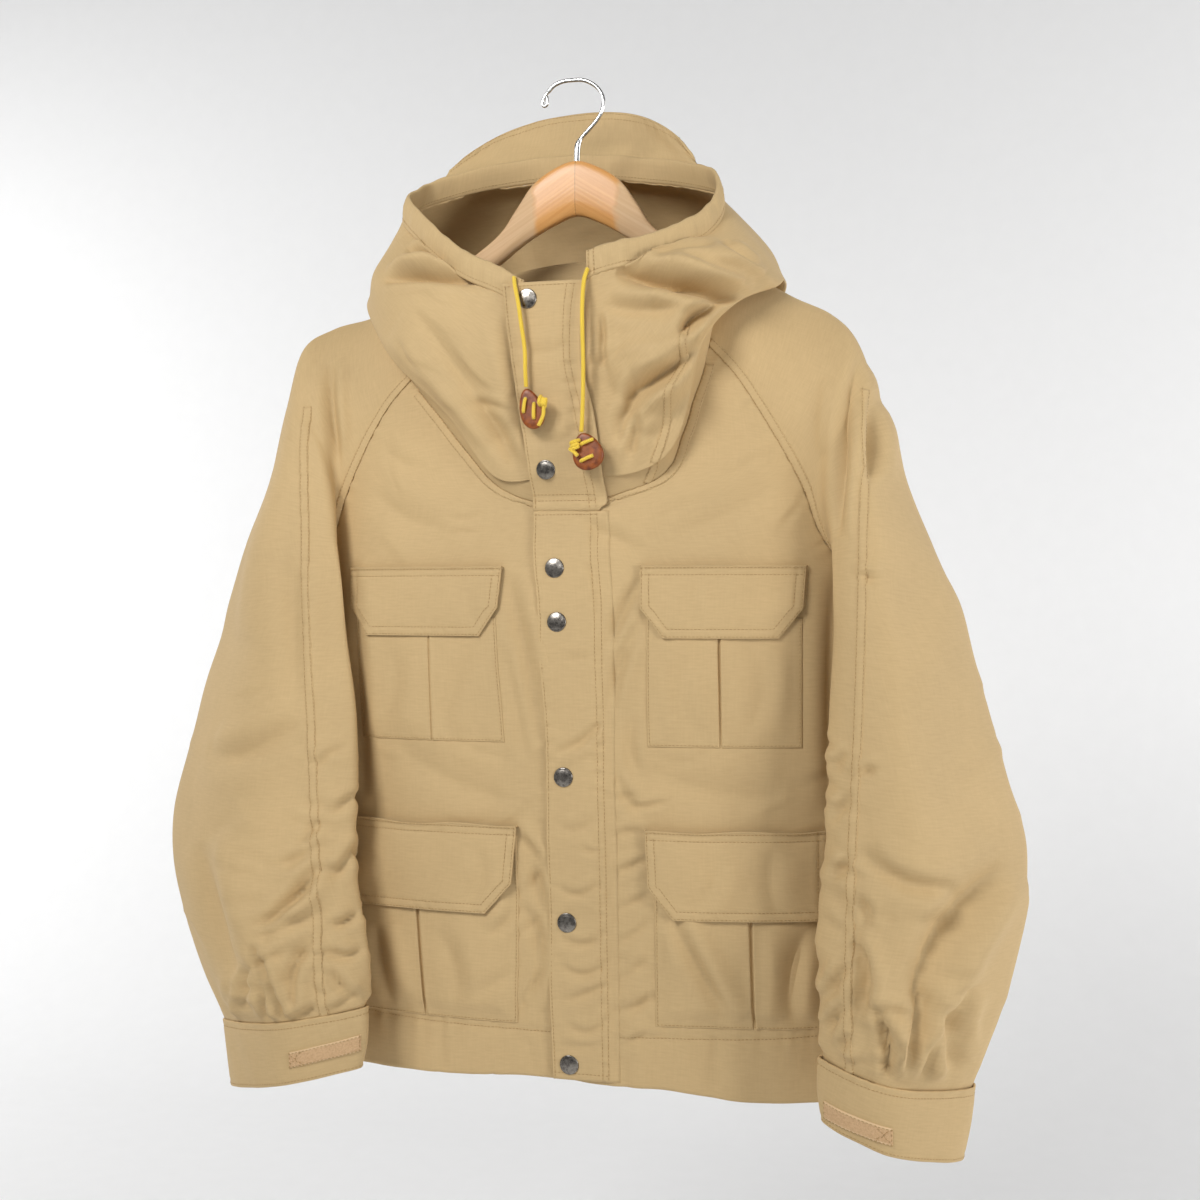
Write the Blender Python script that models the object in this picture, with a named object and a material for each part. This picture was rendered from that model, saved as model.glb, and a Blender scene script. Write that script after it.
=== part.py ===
"""Mountain parka hanging on a contoured wooden hanger.

Millimetres in the tables, metres in the scene. +Z is up, the front faces -Y,
and the origin is the top of the hook's bend, where it bears on its support.
The wearer's right side is at -X.
"""
import bmesh
import bpy
import numpy as np
from mathutils import Matrix, Vector

# ---------------------------------------------------------------- sizes, mm
CLOTH = 1.3          # wall of the cloth in this model
SEAM_GAP = 0.25      # each piece stays this far inside its seam line
LAY = 0.9            # clearance under a piece that lies on a panel
BODY_CX = 5.0        # middle of the body from side to side
BODY_A = 228.0       # half width of the body
SIDE_Y = -10.0       # depth of the side seams
CF_R = 9.0           # centre front edge of the wearer's right front
CF_L = 12.0          # centre front edge of the wearer's left front
ARMPIT_Z = -405.0
BAND_DROP = 20.0     # width of the tunnel band
HOOK_WIRE = 3.2
STEM_WIRE = 5.0
SNAP_D = 15.0
CORD_D = 3.2

# depth of the centre front and the centre back, going down
DEPTHS = [
    # z, front y, back y
    (-120, -40, 40),
    (-200, -58, 44),
    (-270, -68, 47),
    (-350, -76, 50),
    (-450, -81, 52),
    (-600, -78, 52),
    (-700, -72, 50),
    (-800, -66, 48),
]

# neck seam from the raglan seam to the centre front, and the raglan seam
# down to the armpit, one row for each level of the fronts (wearer's right)
FRONT_LEVELS_R = [
    # neck x, neck z, raglan x, raglan z
    (-119, -243, -119, -243),
    (-106, -258, -137, -262),
    (-90, -276, -152, -284),
    (-68, -302, -163, -304),
    (-38, -332, -172, -321),
    (CF_R, -350, -180, -338),
    (CF_R, -368, -190, -362),
    (CF_R, -386, -206, -386),
    (CF_R, -407, -223, -405),
]
FRONT_LEVELS_L = [
    # neck x, neck z, raglan x, raglan z
    (120, -226, 120, -226),
    (116, -246, 140, -248),
    (109, -268, 158, -275),
    (102, -292, 172, -299),
    (84, -326, 183, -319),
    (CF_L, -350, 192, -338),
    (CF_L, -368, 201, -364),
    (CF_L, -386, 215, -386),
    (CF_L, -407, 233, -405),
]
# levels below the armpit: the hem hangs a little higher at the side seams
HEM_LEVELS = 8
HEM_Z = {"cf": -781.0, "side_r": -788.0, "side_l": -794.0}

# sleeve above the armpit: seven points round the arm for each level.
# v is the hollow beside the raglan seam, e the fold over the chest, m the
# middle of the front, o the outer edge, k the middle of the back
SLEEVE_TOP_R = [
    # v x y z, e x y z, m x y z, o x y z, k x y z, back seam x z
    (-118, -53, -217, -117, -40, -188, -115, -22, -164, -112, 2, -147, -106, 26, -146, -100, -150),
    (-141, -55, -236, -143, -43, -209, -143, -26, -183, -143, 0, -163, -138, 25, -167, -124, -186),
    (-160, -56, -258, -168, -47, -231, -172, -31, -203, -174, -4, -181, -168, 22, -192, -144, -222),
    (-176, -57, -281, -190, -53, -252, -201, -40, -223, -205, -14, -192, -196, 18, -214, -160, -254),
    (-184, -58, -300, -202, -60, -272, -218, -50, -238, -226, -28, -210, -212, 14, -238, -172, -286),
    (-187, -58, -320, -196, -66, -298, -222, -62, -272, -240, -26, -258, -222, 13, -272, -183, -316),
    (-188, -58, -345, -187, -70, -333, -228, -70, -318, -259, -22, -318, -238, 14, -322, -195, -348),
    (-190, -60, -372, -180, -75, -366, -236, -76, -362, -281, -19, -370, -250, 14, -368, -210, -378),
    (-188, -62, -402, -172, -79, -404, -240, -80, -410, -300, -18, -417, -256, 12, -412, -223, -405),
]
SLEEVE_TOP_L = [
    # v x y z, e x y z, m x y z, o x y z, k x y z, back seam x z
    (119, -52, -203, 118, -40, -181, 116, -22, -161, 113, 2, -147, 107, 26, -146, 100, -150),
    (144, -55, -225, 145, -43, -203, 145, -26, -182, 145, 0, -164, 140, 25, -168, 125, -187),
    (165, -57, -250, 172, -47, -227, 174, -31, -203, 176, -4, -183, 170, 22, -195, 146, -224),
    (184, -58, -277, 195, -53, -252, 202, -40, -225, 206, -14, -200, 198, 18, -218, 163, -257),
    (196, -58, -300, 211, -60, -274, 221, -50, -246, 228, -28, -224, 216, 14, -244, 176, -289),
    (203, -58, -322, 217, -66, -300, 230, -62, -280, 244, -26, -268, 228, 15, -282, 187, -318),
    (207, -60, -348, 217, -72, -340, 240, -74, -330, 263, -22, -330, 244, 18, -334, 200, -350),
    (212, -62, -376, 216, -77, -372, 248, -84, -368, 282, -20, -378, 258, 20, -374, 218, -380),
    (222, -64, -406, 216, -82, -408, 254, -90, -412, 296, -20, -419, 266, 20, -414, 233, -405),
]
# sleeve below the armpit, down to the cuff seam (side-on ovals)
SLEEVE_LOW_R = [
    # u x y, v x y, e x y, m x y, o x y, k x y, z of e, z of o
    (-216, -36, -186, -60, -166, -82, -240, -84, -308, -18, -258, 12, -446, -452),
    (-212, -40, -180, -64, -158, -88, -242, -92, -322, -22, -258, 8, -496, -500),
    (-210, -42, -178, -66, -154, -94, -244, -98, -334, -28, -258, 6, -546, -548),
    (-208, -44, -176, -68, -153, -99, -246, -104, -340, -34, -256, 4, -590, -592),
    (-206, -46, -172, -70, -150, -103, -240, -112, -336, -42, -252, 2, -630, -634),
    (-198, -50, -164, -74, -141, -106, -228, -120, -324, -48, -244, -10, -668, -676),
    (-192, -54, -158, -76, -136, -109, -218, -124, -302, -56, -236, -20, -702, -722),
    (-188, -56, -158, -80, -140, -108, -206, -120, -280, -62, -226, -30, -729, -757),
]
SLEEVE_LOW_L = [
    # u x y, v x y, e x y, m x y, o x y, k x y, z of e, z of o
    (246, -30, 230, -56, 217, -86, 262, -98, 306, -20, 276, 20, -446, -454),
    (248, -34, 232, -60, 216, -91, 268, -106, 322, -20, 284, 20, -492, -500),
    (250, -38, 232, -62, 215, -95, 274, -112, 336, -22, 290, 20, -538, -548),
    (250, -42, 230, -66, 214, -99, 280, -118, 350, -26, 296, 16, -580, -592),
    (248, -46, 226, -70, 211, -103, 280, -122, 350, -34, 296, 10, -622, -634),
    (246, -50, 224, -74, 210, -106, 276, -126, 342, -42, 292, 2, -664, -676),
    (244, -54, 224, -78, 211, -108, 270, -128, 330, -50, 284, -10, -706, -724),
    (244, -58, 226, -82, 212, -107, 262, -124, 313, -60, 276, -24, -741, -766),
]
CUFF_GAP = 0.5
CUFF_R = [
    # u x y, v x y, e x y, m x y, o x y, k x y, z of e, z of o
    (-188, -58, -158, -80, -138, -108, -206, -120, -280, -62, -226, -32, -729, -757),
    (-190, -60, -160, -82, -138, -108, -204, -118, -275, -66, -224, -36, -752, -782),
    (-192, -62, -162, -84, -143, -108, -204, -116, -269, -70, -224, -42, -774, -807),
]
CUFF_L = [
    # u x y, v x y, e x y, m x y, o x y, k x y, z of e, z of o
    (244, -60, 226, -82, 210, -107, 262, -124, 314, -60, 276, -26, -741, -766),
    (244, -62, 226, -84, 209, -106, 260, -122, 311, -62, 274, -32, -763, -792),
    (244, -66, 228, -86, 212, -106, 260, -118, 306, -66, 272, -40, -785, -816),
]

# the hood: stations from the right front edge round the back to the left.
# at is the place along the neck seam in tenths, the fold is the lowest edge
# that the cloth falls to, the puff is its fullest place, the rim is its edge
HOOD = [
    # at, fold x y z, puff x y z, rim x y z
    (0.0, 4, -82, -320, -2, -91, -250, -12, -99, -178),
    (0.6, -40, -83, -322, -40, -94, -246, -33, -96, -165),
    (1.2, -78, -86, -274, -76, -98, -214, -58, -88, -153),
    (1.8, -126, -78, -230, -112, -90, -190, -80, -76, -138),
    (2.4, -152, -56, -198, -146, -66, -162, -108, -56, -114),
    (3.0, -168, -28, -176, -160, -28, -146, -133, -28, -90),
    (3.4, -170, 4, -168, -160, 8, -138, -133, -6, -78),
    (3.9, -160, 40, -180, -152, 44, -130, -126, 16, -66),
    (4.4, -112, 84, -262, -112, 84, -120, -84, 40, -50),
    (5.0, 0, 92, -304, 0, 98, -118, -15, 50, -44),
    (5.6, 106, 84, -262, 104, 84, -120, 56, 40, -55),
    (6.1, 156, 42, -180, 146, 44, -134, 98, 14, -70),
    (6.6, 166, 4, -168, 152, 8, -142, 114, -8, -82),
    (7.0, 164, -24, -178, 150, -28, -148, 119, -28, -102),
    (7.6, 142, -64, -196, 132, -66, -160, 112, -50, -122),
    (8.2, 120, -82, -226, 112, -88, -180, 95, -72, -137),
    (8.8, 103, -84, -292, 84, -96, -204, 76, -84, -146),
    (9.4, 74, -84, -318, 56, -94, -232, 56, -93, -151),
    (10.0, 20, -82, -322, 26, -91, -240, 36, -99, -158),
]
# the brim rises from the hood edge at the back; at as in the hood
BRIM = [
    # at, tip x y z
    (3.95, -122, 34, -54),
    (4.1, -108, 44, -38),
    (4.3, -84, 58, -20),
    (4.6, -56, 67, -9),
    (4.85, -28, 71, -4.5),
    (5.1, -2, 71, -4),
    (5.35, 24, 67, -8),
    (5.6, 46, 59, -17),
    (5.85, 68, 45, -33),
    (6.05, 84, 33, -52),
]

# storm flap: free edge, stitched edge and depth, going down
PLACKET_TOP = [
    # z, free x, stitched x, y
    (-180, -28, 30, -102.6),
    (-205, -26, 26, -101.6),
    (-240, -22, 25, -98.2),
    (-275, -18, 32, -93.8),
    (-305, -14, 36, -90),
    (-330, -12, 38, -86.6),
    (-347, -11, 39, -83.2),
]
PLACKET = [
    # z, free x, stitched x
    (-349.5, -11, 40),
    (-385, -11, 41),
    (-420, -7, 44),
    (-463, -5, 45),
    (-510, -1, 46),
    (-555, 0, 46),
    (-605, 0, 47),
    (-655, 1, 47),
    (-707, 0, 47),
    (-745, 1, 47),
    (-779, 2, 47),
]

# patches on the fronts: one row for each level of the patch; out is how far
# the patch's face stands off the front
CHEST_POCKET_R = [
    # z, left x, right x, out
    (-434, -165, -41, 2.1),
    (-465, -164, -39, 2.3),
    (-497, -162, -36, 2.3),
    (-525, -160, -34, 2.1),
]
CHEST_POCKET_L = [
    # z, left x, right x, out
    (-434, 77, 190, 2.1),
    (-465, 77, 190, 2.3),
    (-497, 77, 190, 2.3),
    (-526, 78, 190, 2.1),
]
CHEST_FLAP_R = [
    # z, left x, right x, out
    (-391, -170, -36, 2.1),
    (-422, -169, -39, 3.6),
    (-444, -142, -52, 4.3),
]
CHEST_FLAP_L = [
    # z, left x, right x, out
    (-391, 72, 193, 2.1),
    (-423, 73, 191, 3.6),
    (-445, 88, 175, 4.3),
]
LOWER_POCKET_R = [
    # z, left x, right x, out
    (-625, -176, -25, 2.4),
    (-665, -175, -24, 4.4),
    (-705, -174, -25, 4.0),
    (-741, -173, -27, 2.2),
]
LOWER_POCKET_L = [
    # z, left x, right x, out
    (-622, 82, 206, 2.4),
    (-660, 82, 206, 4.4),
    (-700, 82, 206, 4.0),
    (-736, 82, 206, 2.2),
]
LOWER_FLAP_R = [
    # z, left x, right x, out
    (-588, -180, -24, 2.1),
    (-632, -179, -28, 5.2),
    (-656, -176, -52, 6.8),
]
LOWER_FLAP_L = [
    # z, left x, right x, out
    (-588, 76, 208, 2.1),
    (-630, 78, 208, 5.2),
    (-652, 95, 207, 6.8),
]
# pleat: x at the top, x at the bottom, for each pocket
PLEATS = {
    "chest_pocket_right": (-97, -94),
    "chest_pocket_left": (131, 132),
    "lower_pocket_right": (-112, -103),
    "lower_pocket_left": (152, 155),
}

SNAPS = [
    # x, z
    (-8.8, -192),
    (1.3, -318.5),
    (5.9, -392.3),
    (8.3, -433),
    (13.2, -549.9),
    (14.6, -660.3),
    (14.6, -769.4),
]
# half profile of a stud's cap
STUD = [
    # radius, out
    (0.0, 0.0),
    (0.5 * SNAP_D, 0.0),
    (0.5 * SNAP_D, 0.6),
    (0.36 * SNAP_D, 1.8),
    (0.16 * SNAP_D, 2.4),
    (0.0, 2.45),
]

HANGER = [
    # x, top z, bottom z, y, half thickness
    (-221, -222, -232, -26, 5),
    (-212, -216, -232, -22, 6),
    (-180, -193, -214, -9, 6),
    (-140, -169, -191, -3, 6.5),
    (-100, -145, -168, -1, 6.5),
    (-66, -121, -144, 0, 6.5),
    (-50, -100, -132, 0, 6.5),
    (-36, -81, -123, 0, 6.5),
    (-18, -69, -114, 0, 6.5),
    (0, -64, -108, 0, 6.5),
    (18, -70, -114, 0, 6.5),
    (36, -82, -124, 0, 6.5),
    (50, -101, -133, 0, 6.5),
    (66, -123, -146, 0, 6.5),
    (100, -145, -168, -1, 6.5),
    (140, -170, -193, -3, 6.5),
    (180, -197, -219, -9, 6),
    (214, -229, -244, -22, 6),
    (223, -236, -246, -26, 5),
]
HOOK = [
    # x, z, wire diameter
    (-28.5, -15.5, 4.6),
    (-27.2, -11.5, 4.4),
    (-24.4, -6.2, HOOK_WIRE),
    (-19.0, -1.2, HOOK_WIRE),
    (-11.5, 1.4, HOOK_WIRE),
    (-3.5, 1.7, HOOK_WIRE),
    (4.5, 1.2, HOOK_WIRE),
    (12.0, -2.0, HOOK_WIRE),
    (18.2, -7.4, HOOK_WIRE),
    (21.8, -15.0, HOOK_WIRE),
    (21.4, -23.4, HOOK_WIRE),
    (17.2, -31.2, HOOK_WIRE),
    (10.2, -38.8, HOOK_WIRE),
    (4.0, -45.0, HOOK_WIRE),
    (1.0, -50.5, STEM_WIRE),
    (0.2, -56.5, STEM_WIRE),
    (0.0, -63.4, STEM_WIRE),
]

CORD_R = [
    # x, y, z
    (-19, -102.3, -175.5),
    (-17, -105.6, -184),
    (-14, -108.0, -195),
    (-12, -107.4, -210),
    (-10, -104.4, -230),
    (-10, -103, -246),
    (-10, -101, -257.6),
]
CORD_L = [
    # x, y, z
    (38, -102.2, -172),
    (36, -105.2, -182),
    (35, -106.0, -200),
    (35, -105.5, -220),
    (35, -103.5, -240),
    (34, -100.5, -262),
    (33, -99, -280),
    (32, -98, -292.1),
]
TOGGLES = {
    # centre, width, height, lean in degrees
    "toggle_right": ((-6, -101, -274), 18, 32, 14),
    "toggle_left": ((36.5, -98, -306.5), 24, 29, 18),
}
KNOTS = {
    "knot_right": (0, -106.9, -269),
    "knot_left": (29, -104, -301),
}

COLOURS = {
    # red, green, blue, roughness, metallic
    "parka_cloth": (0.57, 0.43, 0.22, 0.85, 0.0),
    "hook_loop_tape": (0.62, 0.42, 0.24, 0.95, 0.0),
    "drawcord_cord": (0.85, 0.62, 0.06, 0.8, 0.0),
    "toggle_leather": (0.26, 0.07, 0.02, 0.5, 0.0),
    "snap_nickel": (0.35, 0.33, 0.3, 0.25, 1.0),
    "hanger_wood": (0.76, 0.42, 0.17, 0.4, 0.0),
    "hook_steel": (0.8, 0.8, 0.8, 0.15, 1.0),
}


# ------------------------------------------------------------------ helpers
def material(name):
    """Principled material of one of the colours."""
    mat = bpy.data.materials.get(name)
    if mat is None:
        mat = bpy.data.materials.new(name)
        mat.use_nodes = True
        shader = mat.node_tree.nodes["Principled BSDF"]
        red, green, blue, rough, metal = COLOURS[name]
        shader.inputs["Base Color"].default_value = (red, green, blue, 1.0)
        shader.inputs["Roughness"].default_value = rough
        shader.inputs["Metallic"].default_value = metal
    return mat


def add_mesh(name, bm, mat, place=None):
    """Object from a bmesh in millimetres, faces turned outward."""
    bmesh.ops.recalc_face_normals(bm, faces=bm.faces[:])
    bmesh.ops.scale(bm, vec=(0.001, 0.001, 0.001), verts=bm.verts[:])
    mesh = bpy.data.meshes.new(name)
    bm.to_mesh(mesh)
    bm.free()
    mesh.materials.append(material(mat))
    mesh.shade_smooth()
    obj = bpy.data.objects.new(name, mesh)
    if place is not None:
        obj.matrix_world = place
    bpy.context.scene.collection.objects.link(obj)
    return obj


def placed(centre, tilt=0.0, lean=0.0):
    """Place in millimetres, tilted back about X and leaning about Y."""
    return (Matrix.Translation(Vector(centre) * 0.001)
            @ Matrix.Rotation(tilt, 4, "X") @ Matrix.Rotation(lean, 4, "Y"))


def smooth_rows(table, count):
    """Smooth curve through the rows of a table, count points along it."""
    table = np.asarray(table, float)
    n = len(table)
    shown = table.reshape(n, -1)
    where = np.linspace(0, n - 1, count)
    out = []
    for t in where:
        i = min(int(t), n - 2)
        f = t - i
        p1 = shown[i]
        p2 = shown[i + 1]
        p0 = shown[i - 1] if i > 0 else 2 * p1 - p2
        p3 = shown[i + 2] if i + 2 < n else 2 * p2 - p1
        out.append(0.5 * (2 * p1 + (p2 - p0) * f
                          + (2 * p0 - 5 * p1 + 4 * p2 - p3) * f * f
                          + (3 * p1 - p0 - 3 * p2 + p3) * f * f * f))
    return np.array(out).reshape((count,) + table.shape[1:])


def depth(z, column):
    """Depth of the centre front (1) or the centre back (2) at a height."""
    levels = [row[0] for row in reversed(DEPTHS)]
    values = [row[column] for row in reversed(DEPTHS)]
    return float(np.interp(z, levels, values))


def body_y(x, z, column):
    """Depth of the front (1) or back (2) surface: a flattened oval."""
    u = min(abs(x - BODY_CX) / BODY_A, 1.0)
    return SIDE_Y + (depth(z, column) - SIDE_Y) * (1.0 - u ** 3) ** 0.6


def grid_faces(rows, cols, wrap):
    """Quads of a grid, numbered row by row."""
    faces = []
    for i in range(rows - 1):
        for j in range(cols if wrap else cols - 1):
            k = (j + 1) % cols
            faces.append((i * cols + j, i * cols + k,
                          (i + 1) * cols + k, (i + 1) * cols + j))
    return faces


def grid_normals(grid, wrap, flip):
    """Outward normals of one grid, not yet scaled to length one."""
    rows, cols = grid.shape[:2]
    normals = np.zeros(grid.shape)
    flat = grid.reshape(-1, 3)
    out = normals.reshape(-1, 3)
    for face in grid_faces(rows, cols, wrap):
        a, b, c, d = (flat[v] for v in face)
        normal = np.cross(c - a, b - d) * flip
        for v in face:
            out[v] += normal
    return normals


def unit(vectors):
    length = np.linalg.norm(vectors, axis=-1, keepdims=True)
    return vectors / np.maximum(length, 1e-9)


def key(point):
    return tuple(int(round(v * 20)) for v in point)


def joined_normals(pieces):
    """Normals that neighbours share along their common seams."""
    total = {}
    for grid, wrap, flip in pieces.values():
        normals = grid_normals(grid, wrap, flip)
        seen = {}
        for point, normal in zip(grid.reshape(-1, 3), normals.reshape(-1, 3)):
            seen[key(point)] = seen.get(key(point), 0) + normal
        for place, normal in seen.items():
            total[place] = total.get(place, 0) + normal
    result = {}
    for name, (grid, wrap, flip) in pieces.items():
        flat = np.array([total[key(p)] for p in grid.reshape(-1, 3)])
        result[name] = unit(flat).reshape(grid.shape)
    return result


def pull_in(grid, wrap, gap):
    """Move the edges of a grid inside its seam lines."""
    out = grid.copy()
    top = unit(grid[1] - grid[0])
    low = unit(grid[-2] - grid[-1])
    out[0] += top * gap
    out[-1] += low * gap
    if not wrap:
        out[:, 0] += unit(grid[:, 1] - grid[:, 0]) * gap
        out[:, -1] += unit(grid[:, -2] - grid[:, -1]) * gap
    return out


def shell(name, grid, normals, wrap=False, thick=CLOTH, mat="parka_cloth",
          gap=SEAM_GAP):
    """Closed wall on a grid: outer skin, inner skin and the cut edges."""
    rows, cols = grid.shape[:2]
    outer = pull_in(grid, wrap, gap)
    inner = pull_in(grid - normals * thick, wrap, gap)
    bm = bmesh.new()
    skins = []
    for skin in (outer, inner):
        verts = [bm.verts.new(p) for p in skin.reshape(-1, 3)]
        for face in grid_faces(rows, cols, wrap):
            bm.faces.new([verts[v] for v in face])
        skins.append(verts)
    rims = []
    for j in range(cols if wrap else cols - 1):
        k = (j + 1) % cols
        rims.append((j, k))
        rims.append(((rows - 1) * cols + j, (rows - 1) * cols + k))
    if not wrap:
        for i in range(rows - 1):
            rims.append((i * cols, (i + 1) * cols))
            rims.append((i * cols + cols - 1, (i + 1) * cols + cols - 1))
    for a, b in rims:
        bm.faces.new((skins[0][a], skins[0][b], skins[1][b], skins[1][a]))
    bmesh.ops.remove_doubles(bm, verts=bm.verts[:], dist=0.02)
    return add_mesh(name, bm, mat)


def bar(name, path, ring, mat):
    """Solid bar: a closed ring of points at each place, bridged and capped.

    path gives x, y, z and the half width and half height of the ring there.
    """
    bm = bmesh.new()
    loops = []
    for x, y, z, wide, tall in path:
        verts = [bm.verts.new((x, y + u * wide, z + v * tall))
                 for u, v in ring]
        edges = [bm.edges.new((verts[i - 1], verts[i]))
                 for i in range(len(verts))]
        loops.append((verts, edges))
    for one, two in zip(loops[:-1], loops[1:]):
        bmesh.ops.bridge_loops(bm, edges=one[1] + two[1])
    bm.faces.new(loops[0][0])
    bm.faces.new(loops[-1][0])
    return add_mesh(name, bm, mat)


def wire(name, path, radii, mat):
    """Round wire along a path, a curve with a bevel and filled caps."""
    curve = bpy.data.curves.new(name, "CURVE")
    curve.dimensions = "3D"
    curve.bevel_depth = 0.001
    curve.bevel_resolution = 2
    curve.use_fill_caps = True
    spline = curve.splines.new("POLY")
    spline.points.add(len(path) - 1)
    for slot, p, radius in zip(spline.points, path, radii):
        slot.co = (p[0] * 0.001, p[1] * 0.001, p[2] * 0.001, 1.0)
        slot.radius = radius
    curve.materials.append(material(mat))
    obj = bpy.data.objects.new(name, curve)
    bpy.context.scene.collection.objects.link(obj)
    return obj


# ------------------------------------------------- body, sleeves and cuffs
COLS_FRONT = 9
COLS_BACK = 13


def front_grid(levels, side):
    """Front panel, its rows from the neck and raglan seams to the hem."""
    rows = []
    centre = levels[-1][0]
    outer = BODY_CX + side * BODY_A
    low = HEM_Z["side_l"] if side > 0 else HEM_Z["side_r"]
    spans = [((row[0], row[1]), (row[2], row[3])) for row in levels]
    for k in range(1, HEM_LEVELS + 1):
        f = k / HEM_LEVELS
        spans.append(((centre, levels[-1][1] + (HEM_Z["cf"] - levels[-1][1]) * f),
                      (outer, ARMPIT_Z + (low - ARMPIT_Z) * f)))
    for (xa, za), (xb, zb) in spans:
        row = []
        for j in range(COLS_FRONT):
            f = (j / (COLS_FRONT - 1)) ** 0.9
            x = xa + (xb - xa) * f
            z = za + (zb - za) * f
            row.append((x, body_y(x, z, 1), z))
        rows.append(row)
    return np.array(rows)


def sleeve_row_top(row, front_seam):
    """Seven points round the arm above the armpit, front to back."""
    vx, vy, vz, ex, ey, ez, mx, my, mz, ox, oy, oz, kx, ky, kz, bx, bz = row
    fx, fz = front_seam
    points = [(fx, body_y(fx, fz, 1), fz), (vx, vy, vz), (ex, ey, ez),
              (mx, my, mz), (ox, oy, oz), (kx, ky, kz),
              (bx, body_y(bx, bz, 2), bz)]
    return points


def sleeve_row_low(row):
    """The same points below the armpit, where the sleeve is closed."""
    ux, uy, vx, vy, ex, ey, mx, my, ox, oy, kx, ky, ze, zo = row

    def at(x, y):
        f = (x - ex) / (ox - ex)
        return (x, y, ze + (zo - ze) * f)
    return [at(ux, uy), at(vx, vy), at(ex, ey), at(mx, my), at(ox, oy),
            at(kx, ky), at(ux, uy)]


def round_rows(rows):
    """Double the points of each row along a smooth curve through them."""
    return np.array([smooth_rows(row, 2 * len(row) - 1) for row in rows])


def round_loops(rows):
    """Double the points of closed rows; the first point is repeated."""
    out = []
    for row in rows:
        loop = np.array(row[:-1])
        wide = np.concatenate([loop[-2:], loop, loop[:3]])
        fine = smooth_rows(wide, 2 * len(wide) - 1)
        out.append(fine[4:4 + 2 * len(loop) + 1])
    return np.array(out)


def sleeve_grids(top, low, levels):
    """Open rows over the shoulder, then closed rows down to the cuff."""
    upper = [sleeve_row_top(row, (lv[2], lv[3]))
             for row, lv in zip(top, levels)]
    lower = [sleeve_row_low(row) for row in low]
    upper_rows = round_rows(upper)
    lower_rows = round_loops([upper[-1]] + lower)
    lower_rows[0] = upper_rows[-1]
    return upper_rows, lower_rows[1:]


def back_grid(sleeve_r, sleeve_l):
    """Back panel between the back raglan seams, then down to the hem."""
    rows = []
    outer_r = BODY_CX - BODY_A
    outer_l = BODY_CX + BODY_A
    for k in range(len(sleeve_r)):
        a = sleeve_r[k][-1]
        b = sleeve_l[k][-1]
        row = []
        for j in range(COLS_BACK):
            f = j / (COLS_BACK - 1)
            x = a[0] + (b[0] - a[0]) * f
            rise = 14.0 * np.sin(np.pi * f) * max(0.0, 1.0 - k / 3.0)
            z = a[2] + (b[2] - a[2]) * f + rise
            y = body_y(x, z, 2)
            if j == 0:
                y = a[1]
            if j == COLS_BACK - 1:
                y = b[1]
            row.append((x, y, z))
        rows.append(row)
    for k in range(1, HEM_LEVELS + 1):
        f = k / HEM_LEVELS
        za = ARMPIT_Z + (HEM_Z["side_r"] - ARMPIT_Z) * f
        zb = ARMPIT_Z + (HEM_Z["side_l"] - ARMPIT_Z) * f
        row = []
        for j in range(COLS_BACK):
            g = j / (COLS_BACK - 1)
            x = outer_r + (outer_l - outer_r) * (0.5 - 0.5 * np.cos(np.pi * g))
            z = za + (zb - za) * g
            row.append((x, body_y(x, z, 2), z))
        rows.append(row)
    return np.array(rows)


def hood_grid(neck):
    """Hood from the neck seam over its lowest fold up to the tunnel band."""
    table = np.array(HOOD, float)
    length = np.concatenate([[0.0], np.cumsum(np.linalg.norm(
        np.diff(neck, axis=0), axis=1))])
    at = 10.0 * length / length[-1]
    places = smooth_rows(table[:, 1:], 161)
    marks = smooth_rows(table[:, :1], 161)[:, 0]
    rows = []
    for point, t in zip(neck, at):
        values = [np.interp(t, marks, places[:, c]) for c in range(9)]
        fold = np.array(values[0:3])
        puff = np.array(values[3:6])
        rim = np.array(values[6:9])
        band = rim + np.array([0.0, 0.0, -BAND_DROP])
        flare = 0.5 + 4.5 * min(1.0, abs(rim[0]) / 100.0)
        band[:2] += unit(rim[:2] - np.array([0.0, -25.0])) * flare
        # the cloth drops from the neck seam; the bag behind hangs rounder
        bag = float(np.clip((fold[1] - 40.0) / 40.0, 0.0, 1.0))
        down = 0.5 + 0.28 * bag
        under = point + (fold - point) * np.array([0.5, 0.5, down])
        under += np.array([0.0, -2.0 + 6.0 * bag, 6.0])
        rows.append([point, under, fold, 0.55 * fold + 0.45 * puff
                     + 0.06 * (puff - band), puff,
                     0.45 * puff + 0.55 * band + 0.08 * (puff - fold), band])
    return np.array(rows).transpose(1, 0, 2), np.array(
        [[np.interp(t, marks, places[:, c]) for c in (6, 7, 8)] for t in at])


# ------------------------------------------------------- patches on fronts
def patch_grid(table, columns=7, pleat=None, rows_between=2):
    """Patch on a front: rows between the named levels, moved out by out."""
    levels = []
    for a, b in zip(table[:-1], table[1:]):
        for s in range(rows_between):
            f = s / rows_between
            levels.append([p + (q - p) * f for p, q in zip(a, b)])
    levels.append(list(table[-1]))
    rows = []
    for i, (z, xa, xb, away) in enumerate(levels):
        down = i / (len(levels) - 1)
        if pleat:
            px = pleat[0] + (pleat[1] - pleat[0]) * down
            width = 1.5 + 2.5 * down
            xs = list(np.linspace(xa, px - width, 4))
            xs.append(px)
            xs.extend(np.linspace(px + width, xb, 4))
            out = [away] * 4 + [max(away - 1.2, LAY + CLOTH)] + [away] * 4
        else:
            xs = list(np.linspace(xa, xb, columns))
            out = [away] * columns
        rows.append([(x, body_y(x, z, 1) - o, z) for x, o in zip(xs, out)])
    return np.array(rows)


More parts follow.
